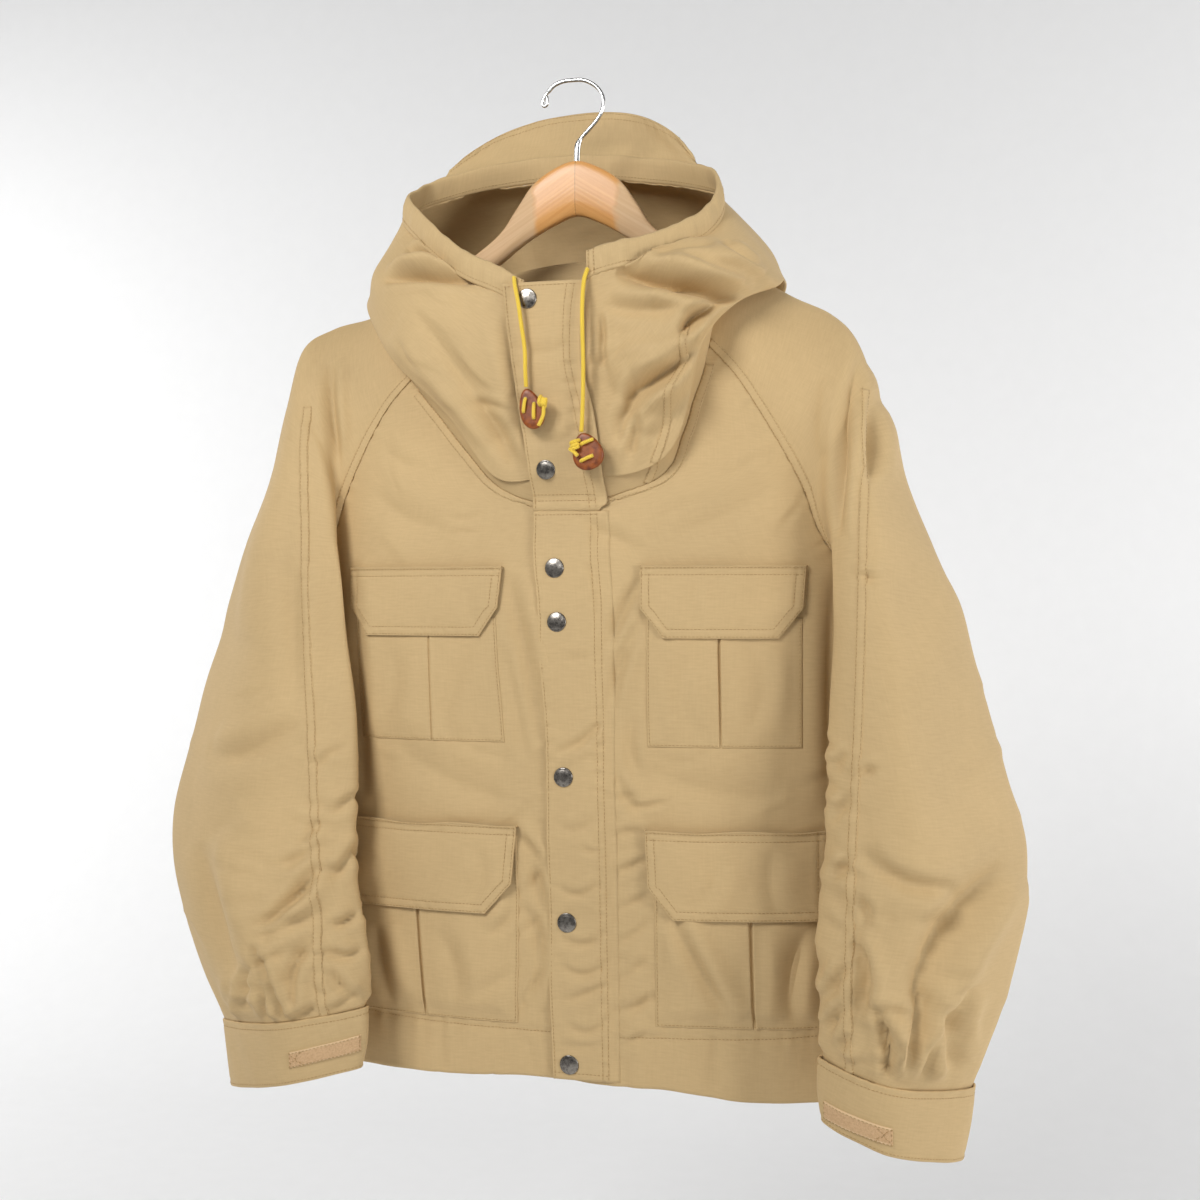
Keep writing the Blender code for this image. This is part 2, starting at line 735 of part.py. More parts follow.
def flap_y(x, z):
    """Depth of the storm flap's face."""
    if z < PLACKET[0][0]:
        return body_y(x, z, 1) - LAY - CLOTH - 0.4
    rows = PLACKET_TOP[::-1]
    levels = [row[0] for row in rows]
    y = np.interp(z, levels, [row[3] for row in rows])
    free = np.interp(z, levels, [row[1] for row in rows])
    sewn = np.interp(z, levels, [row[2] for row in rows])
    return float(y + 0.6 * (2.0 * (x - free) / (sewn - free) - 1.0) ** 2)


# ------------------------------------------------------------------- build
for item in list(bpy.data.objects):
    bpy.data.objects.remove(item, do_unlink=True)

front_r = front_grid(FRONT_LEVELS_R, -1)
front_l = front_grid(FRONT_LEVELS_L, 1)
top_r, low_r = sleeve_grids(SLEEVE_TOP_R, SLEEVE_LOW_R, FRONT_LEVELS_R)
top_l, low_l = sleeve_grids(SLEEVE_TOP_L, SLEEVE_LOW_L, FRONT_LEVELS_L)
back = back_grid(top_r, top_l)

neck_line = np.concatenate([
    front_r[5::-1, 0], top_r[0, 1:], back[0, 1:], top_l[0, -2::-1],
    front_l[1:6, 0]])
hood_rows, rim_line = hood_grid(neck_line)

sleeve_r = np.concatenate([top_r, low_r])
sleeve_l = np.concatenate([top_l, low_l])
band_seam = hood_rows[-1]
band_rows = np.array([band_seam, 0.5 * (band_seam + rim_line), rim_line])

panels = {
    "front_right": (front_r, False, -1),
    "front_left": (front_l, False, 1),
    "back": (back, False, -1),
    "sleeve_right": (sleeve_r, False, -1),
    "sleeve_left": (sleeve_l, False, 1),
    "hood": (hood_rows, False, 1),
    "hood_band": (band_rows, False, 1),
}
normals = joined_normals(panels)
trunk = joined_normals({k: panels[k] for k in ("front_right", "front_left",
                                               "back")})
corner = len(FRONT_LEVELS_R) - 1
for name in ("front_right", "front_left"):
    normals[name][corner, -1] = trunk[name][corner, -1]
for column in (0, -1):
    normals["back"][corner, column] = trunk["back"][corner, column]
    for name in ("sleeve_right", "sleeve_left"):
        alone = joined_normals({name: panels[name]})[name]
        normals[name][corner, column] = alone[corner + 1, column]
for name, (grid, wrap, flip) in panels.items():
    shell(name, grid, normals[name],
          gap=0.4 if name == "hood" else SEAM_GAP)

# cuffs: closed rings below the gathered sleeve ends
for name, table, flip in (("cuff_right", CUFF_R, -1), ("cuff_left", CUFF_L, 1)):
    loops = round_loops([sleeve_row_low(row) for row in table])[:, :-1]
    loops[0, :, 2] -= CUFF_GAP
    loops = smooth_rows(loops, 3)
    cuff_normals = unit(grid_normals(loops, True, flip))
    shell(name, loops, cuff_normals, wrap=True)
    # hook-loop tape on the front of the cuff, from points of the cuff
    strip = []
    for down in (0.3, 0.46, 0.62):
        k = down * 2.0
        i = int(k)
        line = loops[i] + (loops[i + 1] - loops[i]) * (k - i)
        out = line + cuff_normals[i] * 2.05
        strip.append([[np.interp(j, range(len(out)), out[:, c])
                       for c in range(3)] for j in (4.5, 5.0, 5.5, 6.0)])
    strip = np.array(strip)
    tape_normals = unit(grid_normals(strip, False, flip))
    shell(name.replace("cuff_", "cuff_tape_"), strip, tape_normals,
          thick=1.0, mat="hook_loop_tape", gap=0.0)

# brim: a stiff crescent that stands on the hood edge at the back
length = np.concatenate([[0.0], np.cumsum(np.linalg.norm(
    np.diff(neck_line, axis=0), axis=1))])
at = 10.0 * length / length[-1]
tips = smooth_rows(np.array(BRIM, float), 19)
brim_rows = []
for t, x, y, z in tips:
    rim = np.array([np.interp(t, at, rim_line[:, c]) for c in range(3)])
    out = np.array([rim[0] * 0.35, 60.0, 0.0])
    root = rim + unit(out) * 3.2 + np.array([0.0, 0.0, -3.0])
    tip = np.array([x, y, z])
    middle = 0.5 * (root + tip) + np.array([0.0, 3.0, 0.0])
    brim_rows.append([root, middle, tip])
brim_grid = np.array(brim_rows).transpose(1, 0, 2)
shell("brim", brim_grid, unit(grid_normals(brim_grid, False, 1)), thick=2.0,
      gap=0.0)

# storm flap, in the hood piece and in the front piece
for name, table in (("placket_top", PLACKET_TOP), ("placket", PLACKET)):
    rows = []
    for row in table:
        line = []
        for j in range(5):
            f = j / 4.0
            x = row[1] + (row[2] - row[1]) * f
            line.append((x, flap_y(x, row[0]), row[0]))
        rows.append(line)
    rows = np.array(rows)
    shell(name, rows, unit(grid_normals(rows, False, 1)), gap=0.0)

# pockets and flaps on the fronts
PATCHES = {
    "chest_pocket_right": CHEST_POCKET_R,
    "chest_pocket_left": CHEST_POCKET_L,
    "lower_pocket_right": LOWER_POCKET_R,
    "lower_pocket_left": LOWER_POCKET_L,
    "chest_flap_right": CHEST_FLAP_R,
    "chest_flap_left": CHEST_FLAP_L,
    "lower_flap_right": LOWER_FLAP_R,
    "lower_flap_left": LOWER_FLAP_L,
}
for name, table in PATCHES.items():
    rows = patch_grid(table, pleat=PLEATS.get(name))
    shell(name, rows, unit(grid_normals(rows, False, 1)), gap=0.0)

# press studs: low domes through the storm flap, turned from one profile
for number, (x, z) in enumerate(SNAPS, 1):
    bm = bmesh.new()
    profile = [bm.verts.new((r, -out, 0.0)) for r, out in STUD]
    edges = [bm.edges.new(pair) for pair in zip(profile[:-1], profile[1:])]
    bmesh.ops.spin(bm, geom=profile + edges, cent=(0, 0, 0), axis=(0, 1, 0),
                   angle=2 * np.pi, steps=14, use_duplicate=False)
    bmesh.ops.remove_doubles(bm, verts=bm.verts[:], dist=0.01)
    half = 0.5 * SNAP_D
    slope = (flap_y(x, z + half) - flap_y(x, z - half)) / (2.0 * half)
    add_mesh("snap_%d" % number, bm, "snap_nickel",
             placed((x, flap_y(x, z) - 0.6, z), tilt=-np.arctan(slope)))

# drawcords with their leather toggles and knots
for name, path in (("drawcord_right", CORD_R), ("drawcord_left", CORD_L)):
    points = smooth_rows(np.array(path, float), 2 * len(path) - 1)
    wire(name, points, [0.5 * CORD_D] * len(points), "drawcord_cord")
for name, (centre, wide, tall, lean) in TOGGLES.items():
    bm = bmesh.new()
    disc = bmesh.ops.create_circle(bm, cap_ends=True, segments=12, radius=0.5)
    for v in disc["verts"]:
        narrow = 1.0 - 0.5 * v.co.y
        v.co = Vector((v.co.x * wide * narrow, 2.2, v.co.y * tall))
    raised = bmesh.ops.extrude_face_region(bm, geom=bm.faces[:])
    top = [v for v in raised["geom"] if isinstance(v, bmesh.types.BMVert)]
    bmesh.ops.translate(bm, verts=top, vec=(0.0, -4.4, 0.0))
    rims = [e for e in bm.edges if abs(e.verts[0].co.y - e.verts[1].co.y) < 1]
    bmesh.ops.bevel(bm, geom=rims, offset=0.9, segments=1,
                    affect="EDGES", profile=0.5)
    add_mesh(name, bm, "toggle_leather",
             placed(centre, lean=-np.radians(lean)))
for name, centre in KNOTS.items():
    bm = bmesh.new()
    bmesh.ops.create_icosphere(bm, subdivisions=2, radius=3.4)
    add_mesh(name, bm, "drawcord_cord", placed(centre))

# hanger: a wooden bar of rounded section, and the steel hook screwed in
half_ring = ((0.45, 1.0), (0.85, 0.85), (1.0, 0.35), (1.0, -0.35),
             (0.85, -0.85), (0.45, -1.0))
ring = half_ring + tuple((-u, v) for u, v in reversed(half_ring))
arms = [(x, y, 0.5 * (top + low), half, 0.5 * (top - low))
        for x, top, low, y, half in smooth_rows(np.array(HANGER, float), 31)]
bar("hanger_wood", arms, ring, "hanger_wood")

hook = smooth_rows(np.array(HOOK, float), 33)
wire("hanger_hook", [(x, 0.0, z) for x, z, d in hook],
     [0.5 * d for x, z, d in hook], "hook_steel")
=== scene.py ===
"""A hooded mountain parka hanging on a contoured wooden hanger.

The tables are in millimetres, the scene in metres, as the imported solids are.
The front faces -Y and the wearer's right is at -X.
"""

import bmesh
import bpy
import numpy as np
from mathutils import Matrix, Vector
from mathutils.bvhtree import BVHTree


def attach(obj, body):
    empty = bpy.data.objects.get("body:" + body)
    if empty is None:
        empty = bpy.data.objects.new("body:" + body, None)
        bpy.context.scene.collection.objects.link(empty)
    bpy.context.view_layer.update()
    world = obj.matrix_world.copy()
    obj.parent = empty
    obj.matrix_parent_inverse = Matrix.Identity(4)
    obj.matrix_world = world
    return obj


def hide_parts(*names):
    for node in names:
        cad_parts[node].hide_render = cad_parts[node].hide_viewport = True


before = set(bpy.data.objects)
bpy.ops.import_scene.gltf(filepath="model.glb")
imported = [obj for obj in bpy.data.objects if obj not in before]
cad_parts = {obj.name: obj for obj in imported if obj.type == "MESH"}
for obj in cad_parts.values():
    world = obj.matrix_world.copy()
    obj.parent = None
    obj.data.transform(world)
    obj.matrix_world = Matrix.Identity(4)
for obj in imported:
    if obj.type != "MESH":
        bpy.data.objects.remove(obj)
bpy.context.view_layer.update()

# ------------------------------------------------------------ hanger wood
# Two arms of pale lotus wood, joined end to end under the hook and sanded round along the top.
# The satin lacquer is whole at the middle and worn off the arms, so they look paler and drier.
HANGER = [
    # x, top z, bottom z, y, half thickness
    (-221, -222, -232, -26, 5),
    (-212, -216, -232, -22, 6),
    (-180, -193, -214, -9, 6),
    (-140, -169, -191, -3, 6.5),
    (-100, -145, -168, -1, 6.5),
    (-66, -121, -144, 0, 6.5),
    (-50, -100, -132, 0, 6.5),
    (-36, -81, -123, 0, 6.5),
    (-18, -69, -114, 0, 6.5),
    (0, -64, -108, 0, 6.5),
    (18, -70, -114, 0, 6.5),
    (36, -82, -124, 0, 6.5),
    (50, -101, -133, 0, 6.5),
    (66, -123, -146, 0, 6.5),
    (100, -145, -168, -1, 6.5),
    (140, -170, -193, -3, 6.5),
    (180, -197, -219, -9, 6),
    (214, -229, -244, -22, 6),
    (223, -236, -246, -26, 5),
]


def spline(table, where):
    """Smooth curve through the rows of a table, read at places counted in rows."""
    table = np.asarray(table, float)
    where = np.asarray(where, float)
    last = len(table) - 1
    i = np.clip(np.floor(where).astype(int), 0, last - 1)
    f = (where - i).reshape((-1,) + (1,) * (table.ndim - 1))
    p1 = table[i]
    p2 = table[i + 1]
    first = (i == 0).reshape(f.shape)
    final = (i == last - 1).reshape(f.shape)
    p0 = np.where(first, 2 * p1 - p2, table[np.maximum(i - 1, 0)])
    p3 = np.where(final, 2 * p2 - p1, table[np.minimum(i + 2, last)])
    return 0.5 * (2 * p1 + (p2 - p0) * f + (2 * p0 - 5 * p1 + 4 * p2 - p3) * f * f
                  + (3 * p1 - p0 - 3 * p2 + p3) * f * f * f)


def even_places(table, count):
    """Places in rows that lie equally far apart along a table of points, and its length."""
    table = np.asarray(table, float)
    fine = np.linspace(0, len(table) - 1, 24 * len(table))
    steps = np.linalg.norm(np.diff(spline(table, fine), axis=0), axis=-1)
    while steps.ndim > 1:
        steps = steps.mean(axis=-1)
    along = np.concatenate([[0.0], np.cumsum(steps)])
    return np.interp(np.linspace(0, along[-1], count), along, fine), along[-1]


def unit(vectors):
    """Vectors scaled to a length of 1."""
    length = np.linalg.norm(vectors, axis=-1, keepdims=True)
    return vectors / np.maximum(length, 1e-9)


def linear(code):
    """Linear red, green, blue and alpha of an sRGB hex colour."""
    values = [int(code[i:i + 2], 16) / 255 for i in (1, 3, 5)]
    return tuple(v / 12.92 if v <= 0.04045 else ((v + 0.055) / 1.055) ** 2.4
                 for v in values) + (1.0,)


def new_material(name):
    """Material with its tree and shader."""
    made = bpy.data.materials.new(name)
    made.use_nodes = True
    return made, made.node_tree, made.node_tree.nodes["Principled BSDF"]


def wire_up(tree, made, values):
    """Set a node's properties and sockets; a node or a socket as a value is linked to it."""
    for name, value in values.items():
        if isinstance(value, bpy.types.Node):
            value = value.outputs[0]
        if isinstance(value, bpy.types.NodeSocket):
            tree.links.new(value, made.inputs[name])
        elif isinstance(name, str) and hasattr(made, name):
            setattr(made, name, value)
        else:
            made.inputs[name].default_value = value
    return made


def node(tree, kind, values):
    """Node with its settings and links."""
    return wire_up(tree, tree.nodes.new(kind), values)


def object_place(tree):
    """Place on the piece in metres."""
    return node(tree, "ShaderNodeTexCoord", {}).outputs["Object"]


def noise(tree, where, scale, detail, roughness=0.5, distortion=0.0):
    """Noise over a place, at one scale or stretched by three."""
    if isinstance(scale, tuple):
        where = node(tree, "ShaderNodeMapping", {"Vector": where, "Scale": scale})
        scale = 1.0
    return node(tree, "ShaderNodeTexNoise", {
        "Vector": where, "Scale": scale, "Detail": detail, "Roughness": roughness,
        "Distortion": distortion})


def combined(tree, operation, one, two=0.5, three=0.5):
    """One to three values joined by arithmetic."""
    return node(tree, "ShaderNodeMath", {"operation": operation, 0: one, 1: two, 2: three})


def ranged(tree, value, low, high, start=0.0, end=1.0):
    """Value that runs from low to high while the given one goes from start to end."""
    return node(tree, "ShaderNodeMapRange", {"Value": value, "From Min": start,
                                             "From Max": end, "To Min": low, "To Max": high})


def ramp(tree, value, low, dark, high, pale):
    """Colour from dark at low to pale at high."""
    made = node(tree, "ShaderNodeValToRGB", {"Fac": value})
    for stop, at, code in zip(made.color_ramp.elements, (low, high), (dark, pale)):
        stop.position = at
        stop.color = linear(code)
    return made


def blended(tree, share, one, two):
    """Colour between two, each a hex code or a node."""
    one, two = [linear(c) if isinstance(c, str) else c for c in (one, two)]
    return node(tree, "ShaderNodeMix", {"data_type": "RGBA", "Factor": share, 6: one,
                                        7: two}).outputs[2]


def tinted(tree, colour, share):
    """Colour made darker or lighter by a share."""
    return node(tree, "ShaderNodeVectorMath", {"operation": "SCALE", 0: colour,
                                               "Scale": share})


def bump(tree, height, strength, distance):
    """Relief from a height, at its depth in metres."""
    return node(tree, "ShaderNodeBump", {"Height": height, "Strength": strength,
                                         "Distance": distance})


def placed(name, data):
    """New object in the scene."""
    made = bpy.data.objects.new(name, data)
    bpy.context.scene.collection.objects.link(made)
    return made


def quads(rows, cols, steps):
    """Corners of a grid's faces, with steps of them in each row; the last may wrap round."""
    i, j = np.meshgrid(np.arange(rows - 1), np.arange(steps), indexing="ij")
    k = (j + 1) % cols
    return np.stack([i * cols + j, i * cols + k, (i + 1) * cols + k, (i + 1) * cols + j],
                    -1).reshape(-1, 4)


def add_mesh(name, parts, mat):
    """Mesh object in metres from grids in millimetres.

    Each part is (grid, uv, wrap, flip). The grid has rows and columns of points, uv gives
    millimetres along the cloth for each of them, wrap closes the columns to a ring, and flip
    is 1 where down the rows and across the columns, turned by the left hand, point outward.
    """
    verts, faces, corners, count = [], [], [], 0
    for grid, uv, wrap, flip in parts:
        rows, cols = grid.shape[:2]
        steps = cols if wrap else cols - 1
        turn = -1 if flip > 0 else 1
        place = quads(rows, uv.shape[1], steps)[:, ::turn]
        verts.append(grid.reshape(-1, 3))
        faces.append(quads(rows, cols, steps)[:, ::turn] + count)
        corners.append(uv.reshape(-1, 2)[place].reshape(-1, 2))
        count += rows * cols
    mesh = bpy.data.meshes.new(name)
    mesh.from_pydata((np.concatenate(verts) * 0.001).tolist(), [],
                     np.concatenate(faces).tolist())
    layer = mesh.uv_layers.new(name="UVMap")
    layer.data.foreach_set("uv", np.concatenate(corners).astype(np.float32).ravel())
    bm = bmesh.new()
    bm.from_mesh(mesh)
    bmesh.ops.remove_doubles(bm, verts=bm.verts[:], dist=0.00002)
    bm.to_mesh(mesh)
    bm.free()
    mesh.materials.append(mat)
    mesh.shade_smooth()
    return placed(name, mesh)


def tube(rings, along):
    """One grid of closed rings, shut at both ends, with uv in millimetres."""
    first = rings[:1].mean(axis=1, keepdims=True) + 0.0 * rings[:1]
    last = rings[-1:].mean(axis=1, keepdims=True) + 0.0 * rings[-1:]
    grid = np.concatenate([first, rings, last])
    spans = np.linalg.norm(rings - np.roll(rings, 1, axis=1), axis=2).mean(axis=0)
    around = np.concatenate([[0.0], np.cumsum(spans)])
    along = np.concatenate([along[:1], along, along[-1:]])
    uv = np.stack(np.broadcast_arrays(around[None, :], along[:, None]), -1)
    return grid, uv, True, 1


def facing_out(piece):
    """Turn the faces of a closed piece outward."""
    bm = bmesh.new()
    bm.from_mesh(piece.data)
    bmesh.ops.recalc_face_normals(bm, faces=bm.faces[:])
    bm.to_mesh(piece.data)
    bm.free()
    return piece


def ring_piece(name, rings, along, mat):
    """Closed piece of one skin from its rings, shut at both ends, its faces outward."""
    return facing_out(add_mesh(name, [tube(rings, along)], mat))


def fix(piece, slot, *nodes):
    """Fasten a piece to the parka's one body, in place of its solids. The slot is not used."""
    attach(piece, "root")
    if nodes:
        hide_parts(*nodes)


# Lotus wood under satin lacquer: straight grain along the arms about 1.5 mm apart, fine pores,
# amber where the lacquer is whole, and chalky with bare streaks where hands have worn it.
lacquered, tree, shader = new_material("lacquered lotus wood")
place = object_place(tree)
lean = node(tree, "ShaderNodeSeparateXYZ", {0: place})
span = combined(tree, "ABSOLUTE", lean)
slope = combined(tree, "MULTIPLY_ADD", span, 0.62, lean.outputs["Z"])
arm_place = node(tree, "ShaderNodeCombineXYZ",
                 {"X": lean, "Y": lean.outputs["Y"], "Z": slope})
grain = noise(tree, arm_place, (9.0, 160.0, 430.0), 5.0, 0.6, 0.4)
figure = noise(tree, arm_place, (5.0, 40.0, 90.0), 2.0)
amber = ramp(tree, grain, 0.34, "#CF9252", 0.68, "#DDA563")
bare = ramp(tree, grain, 0.36, "#CCA67A", 0.64, "#D6B388")
patches = noise(tree, place, 70.0, 4.0)
edge = combined(tree, "MULTIPLY_ADD", patches, 0.012, span)
worn = ranged(tree, edge, 0.0, 1.0, 0.037, 0.042)
scuffs = noise(tree, arm_place, (60.0, 60.0, 260.0), 6.0, 0.7)
scratch = ranged(tree, scuffs, 0.0, 0.75, 0.63, 0.72)
bareness = combined(tree, "MAXIMUM", worn, scratch)
tone = blended(tree, bareness, amber, bare)
joint = ranged(tree, span, 0.55, 1.0, 0.0, 0.0005)
arms = ranged(tree, lean, 1.0, 0.93, -0.0002, 0.0002)
shade = combined(tree, "MULTIPLY", joint, arms)
swell = ranged(tree, figure, 0.9, 1.08)
shade = combined(tree, "MULTIPLY", shade, swell)
wood_colour = tinted(tree, tone, shade)
gloss = ranged(tree, bareness, 0.34, 0.66)
wire_up(tree, shader, {"Base Color": wood_colour, "Roughness": gloss,
                       "Normal": bump(tree, grain, 0.25, 0.0003)})

ROUNDNESS = 0.42
BEVEL = 0.3
places, arm_length = even_places(HANGER, 170)
section = np.linspace(0, 2 * np.pi, 36, endpoint=False)
across = np.sign(np.cos(section)) * np.abs(np.cos(section)) ** ROUNDNESS
upward = np.sign(np.sin(section)) * np.abs(np.sin(section)) ** ROUNDNESS
# the front and back faces run in towards the lower edge in a flat bevel
bevel = 1.0 - BEVEL * np.clip((-upward - 0.55) / 0.45, 0, 1)
rings = [np.stack([0 * section + x, y + half * across * bevel,
                   0.5 * (top + low) + 0.5 * (top - low) * upward], -1)
         for x, top, low, y, half in spline(HANGER, places)]
wood = ring_piece("hanger_arms", np.array(rings), np.linspace(0, arm_length, 170), lacquered)
fix(wood, "hanger_wood", "hanger_wood")

# ------------------------------------------------------------ hanger hook
# Steel wire of 3.2 mm, bent round to an open hook and chromed, with its end turned back to a
# small eye. The stem is thicker and screws into the wood.
HOOK_WIRE = 3.2
STEM_WIRE = 5.0
EYE_WIRE = 2.5
HOOK = [
    # x, z, wire diameter
    (-24.4, -6.2, HOOK_WIRE),
    (-19.0, -1.2, HOOK_WIRE),
    (-11.5, 1.4, HOOK_WIRE),
    (-3.5, 1.7, HOOK_WIRE),
    (4.5, 1.2, HOOK_WIRE),
    (12.0, -2.0, HOOK_WIRE),
    (18.2, -7.4, HOOK_WIRE),
    (21.8, -15.0, HOOK_WIRE),
    (21.4, -23.4, HOOK_WIRE),
    (17.2, -31.2, HOOK_WIRE),
    (10.2, -38.8, HOOK_WIRE),
    (4.0, -45.0, HOOK_WIRE),
    (1.0, -50.5, STEM_WIRE),
    (0.2, -56.5, STEM_WIRE),
    (0.0, -66.0, STEM_WIRE),
]
EYE = [
    # x, z: the wire's end, turned back on itself
    (-24.4, -6.2),
    (-26.6, -9.0),
    (-28.6, -12.2),
    (-29.2, -15.4),
    (-27.4, -17.4),
    (-25.2, -16.0),
    (-25.0, -12.8),
    (-25.4, -9.6),
]


def run_of(line):
    """How far each point of a line is along it."""
    steps = np.linalg.norm(np.diff(line, axis=0), axis=1)
    return np.concatenate([[0.0], np.cumsum(steps)])


def swept(points, radius, sides):
    """Rings of a round section carried along a path without twist."""
    points = np.asarray(points, float)
    ahead = unit(np.gradient(points, axis=0))
    normal = np.array([0.0, 1.0, 0.0])
    if abs(ahead[0] @ normal) > 0.8:
        normal = np.array([1.0, 0.0, 0.0])
    turn = np.linspace(0, 2 * np.pi, sides, endpoint=False)
    rings = []
    for point, tangent, size in zip(points, ahead, np.broadcast_to(radius, len(points))):
        normal = unit(normal - tangent * (normal @ tangent))
        other = np.cross(tangent, normal)
        rings.append(point + size * (np.cos(turn)[:, None] * normal
                                     + np.sin(turn)[:, None] * other))
    return np.array(rings), run_of(points)


chrome, tree, shader = new_material("chromed steel wire")
# Chrome over drawn wire: a bright mirror with a faint haze, dulled a little by handling.
haze = noise(tree, object_place(tree), 260.0, 3.0)
wire_up(tree, shader, {"Metallic": 1.0, "Roughness": ranged(tree, haze, 0.08, 0.26),
                       "Base Color": blended(tree, haze, "#BDBDBB", "#D9D9D8")})
for name, table, count, sides in (("hook_wire", HOOK, 110, 20), ("hook_eye", EYE, 34, 14)):
    places, _ = even_places(np.array(table)[:, :2], count)
    x, z, *wire = spline(table, places).T
    wire = wire[0] if wire else EYE_WIRE
    line = np.stack([x, 0 * x, z], -1)
    piece = ring_piece(name, *swept(line, 0.5 * wire, sides), chrome)
    fix(piece, "hook_steel", *(["hanger_hook"] if table is HOOK else []))

# ------------------------------------------------------------ fronts
# Two fronts of 60/40 cloth, cotton across nylon, sewn to the sleeves and the hood by felled
# seams. They hang from the hanger, so soft folds fall from the chest and gather at the hem.
BODY_CX = 5.0
BODY_A = 228.0
SIDE_Y = -10.0
ARMPIT_Z = -405.0
HEM_LEVELS = 8
HEM_Z = {"cf": -781.0, "side_r": -788.0, "side_l": -794.0}
GRID = 3.0
CLOTH = 0.8
DEPTHS = [
    # z, front y, back y
    (-120, -40, 40),
    (-200, -58, 44),
    (-270, -68, 47),
    (-350, -76, 50),
    (-450, -81, 52),
    (-600, -78, 52),
    (-700, -72, 50),
    (-800, -66, 48),
]
FRONT_LEVELS_R = [
    # neck x, neck z, raglan x, raglan z
    (-119, -243, -119, -243),
    (-106, -258, -137, -262),
    (-90, -276, -152, -284),
    (-68, -302, -163, -304),
    (-38, -332, -172, -321),
    (9, -350, -180, -338),
    (9, -368, -190, -362),
    (9, -386, -206, -386),
    (9, -407, -223, -405),
]
FRONT_LEVELS_L = [
    # neck x, neck z, raglan x, raglan z
    (120, -226, 120, -226),
    (116, -246, 140, -248),
    (109, -268, 158, -275),
    (102, -292, 172, -299),
    (84, -326, 183, -319),
    (12, -350, 192, -338),
    (12, -368, 201, -364),
    (12, -386, 215, -386),
    (12, -407, 233, -405),
]
FRONT_CREASES = [
    # from x z, through x z, to x z, width, height
    (-33, -396, -16, -466, -8, -526, 10, -3.2),
    (-36, -447, -26, -493, -19, -538, 8, -2),
    (-26, -593, -14, -606, -2, -620, 6, -2.4),
    (-19, -610, -10, -628, -7, -653, 7, -3.2),
    (-22, -649, -9, -681, -18, -724, 8, -3),
    (-6, -674, -14, -701, -22, -725, 6, 2),
    (73, -399, 58, -425, 48, -454, 7, -3),
    (70, -434, 55, -471, 51, -499, 7, -2.6),
    (69, -502, 64, -525, 72, -551, 7, -2.2),
    (53, -548, 63, -566, 73, -577, 6, -2.2),
    (52, -595, 64, -590, 76, -592, 5, -1.6),
    (53, -623, 66, -615, 78, -612, 5, -2.1),
    (53, -650, 67, -643, 81, -634, 5, -1.4),
    (53, -675, 67, -667, 81, -653, 5, -1.4),
    (53, -703, 67, -694, 81, -680, 5, -1.4),
    (56, -731, 69, -722, 81, -708, 5, -1.4),
    (56, -750, 67, -745, 79, -739, 5, -1.6),
    (72, -536, 117, -557, 177, -562, 16, -1.6),
    (9, -356, 56, -372, 72, -387, 9, -1.6),
    (-127, -529, -87, -552, -38, -569, 16, -1.4),
    (-167, -385, -161, -479, -158, -573, 9, -3),
    (212, -398, 210, -489, 209, -576, 9, -3),
    (-150, -330, -120, -352, -84, -360, 14, -1.4),
    (170, -330, 130, -356, 96, -364, 14, -1.4),
]

FRONT_REGIONS = [
    # seed, how many, left, right, low, top, lean in degrees, height
    (201, 9, 50, 80, -755, -560, 8, 1.5),
    (202, 8, -30, 0, -745, -560, 60, 1.5),
    (203, 7, -170, -30, -600, -530, -8, 0.7),
    (204, 7, 60, 210, -600, -530, 6, 0.7),
    (205, 5, -160, -60, -385, -300, -30, 0.8),
    (206, 5, 70, 200, -385, -300, 30, 0.8),
    (207, 10, -215, 225, -785, -752, 84, 0.9),
]


def depth(z, column):
    """Depth of the centre front (1) or the centre back (2) at a height."""
    table = np.array(DEPTHS)[::-1]
    return np.interp(z, table[:, 0], table[:, column])


def body_y(x, z, column):
    """Depth of the front (1) or back (2) surface: a flattened oval."""
    u = np.minimum(np.abs(x - BODY_CX) / BODY_A, 1.0)
    return SIDE_Y + (depth(z, column) - SIDE_Y) * (1.0 - u ** 3) ** 0.6


def grid_normals(grid, flip):
    """Outward unit normals of a grid; where a row has no width they come from the next."""
    normals = np.cross(np.gradient(grid, axis=0), np.gradient(grid, axis=1)) * flip
    short = np.linalg.norm(normals, axis=2) < 1e-4
    for i in range(len(grid) - 2, -1, -1):
        normals[i][short[i]] = normals[i + 1][short[i]]
    return unit(normals)


def uneven(along, seed, shortest, longest):
    """Irregular wave along a seam, between about -1 and 1, from seeded wavelengths."""
    rng = np.random.default_rng(seed)
    total = 0.0 * along
    for _ in range(6):
        total = total + np.sin(2 * np.pi * (along / rng.uniform(shortest, longest)
                                            + rng.random()))
    return total / 3.6


def drift(x, z, seed, wide=150.0, tall=260.0):
    """Slow unevenness of hanging cloth, about -1 to 1: a few long seeded waves."""
    rng = np.random.default_rng(seed)
    total = 0.0 * x
    for _ in range(7):
        total = total + np.sin(2 * np.pi * (x / (wide * rng.uniform(0.5, 1.4))
                                            + z / (tall * rng.uniform(0.6, 1.6))
                                            * rng.choice((-1, 1)) + rng.random()))
    return total / 4.5


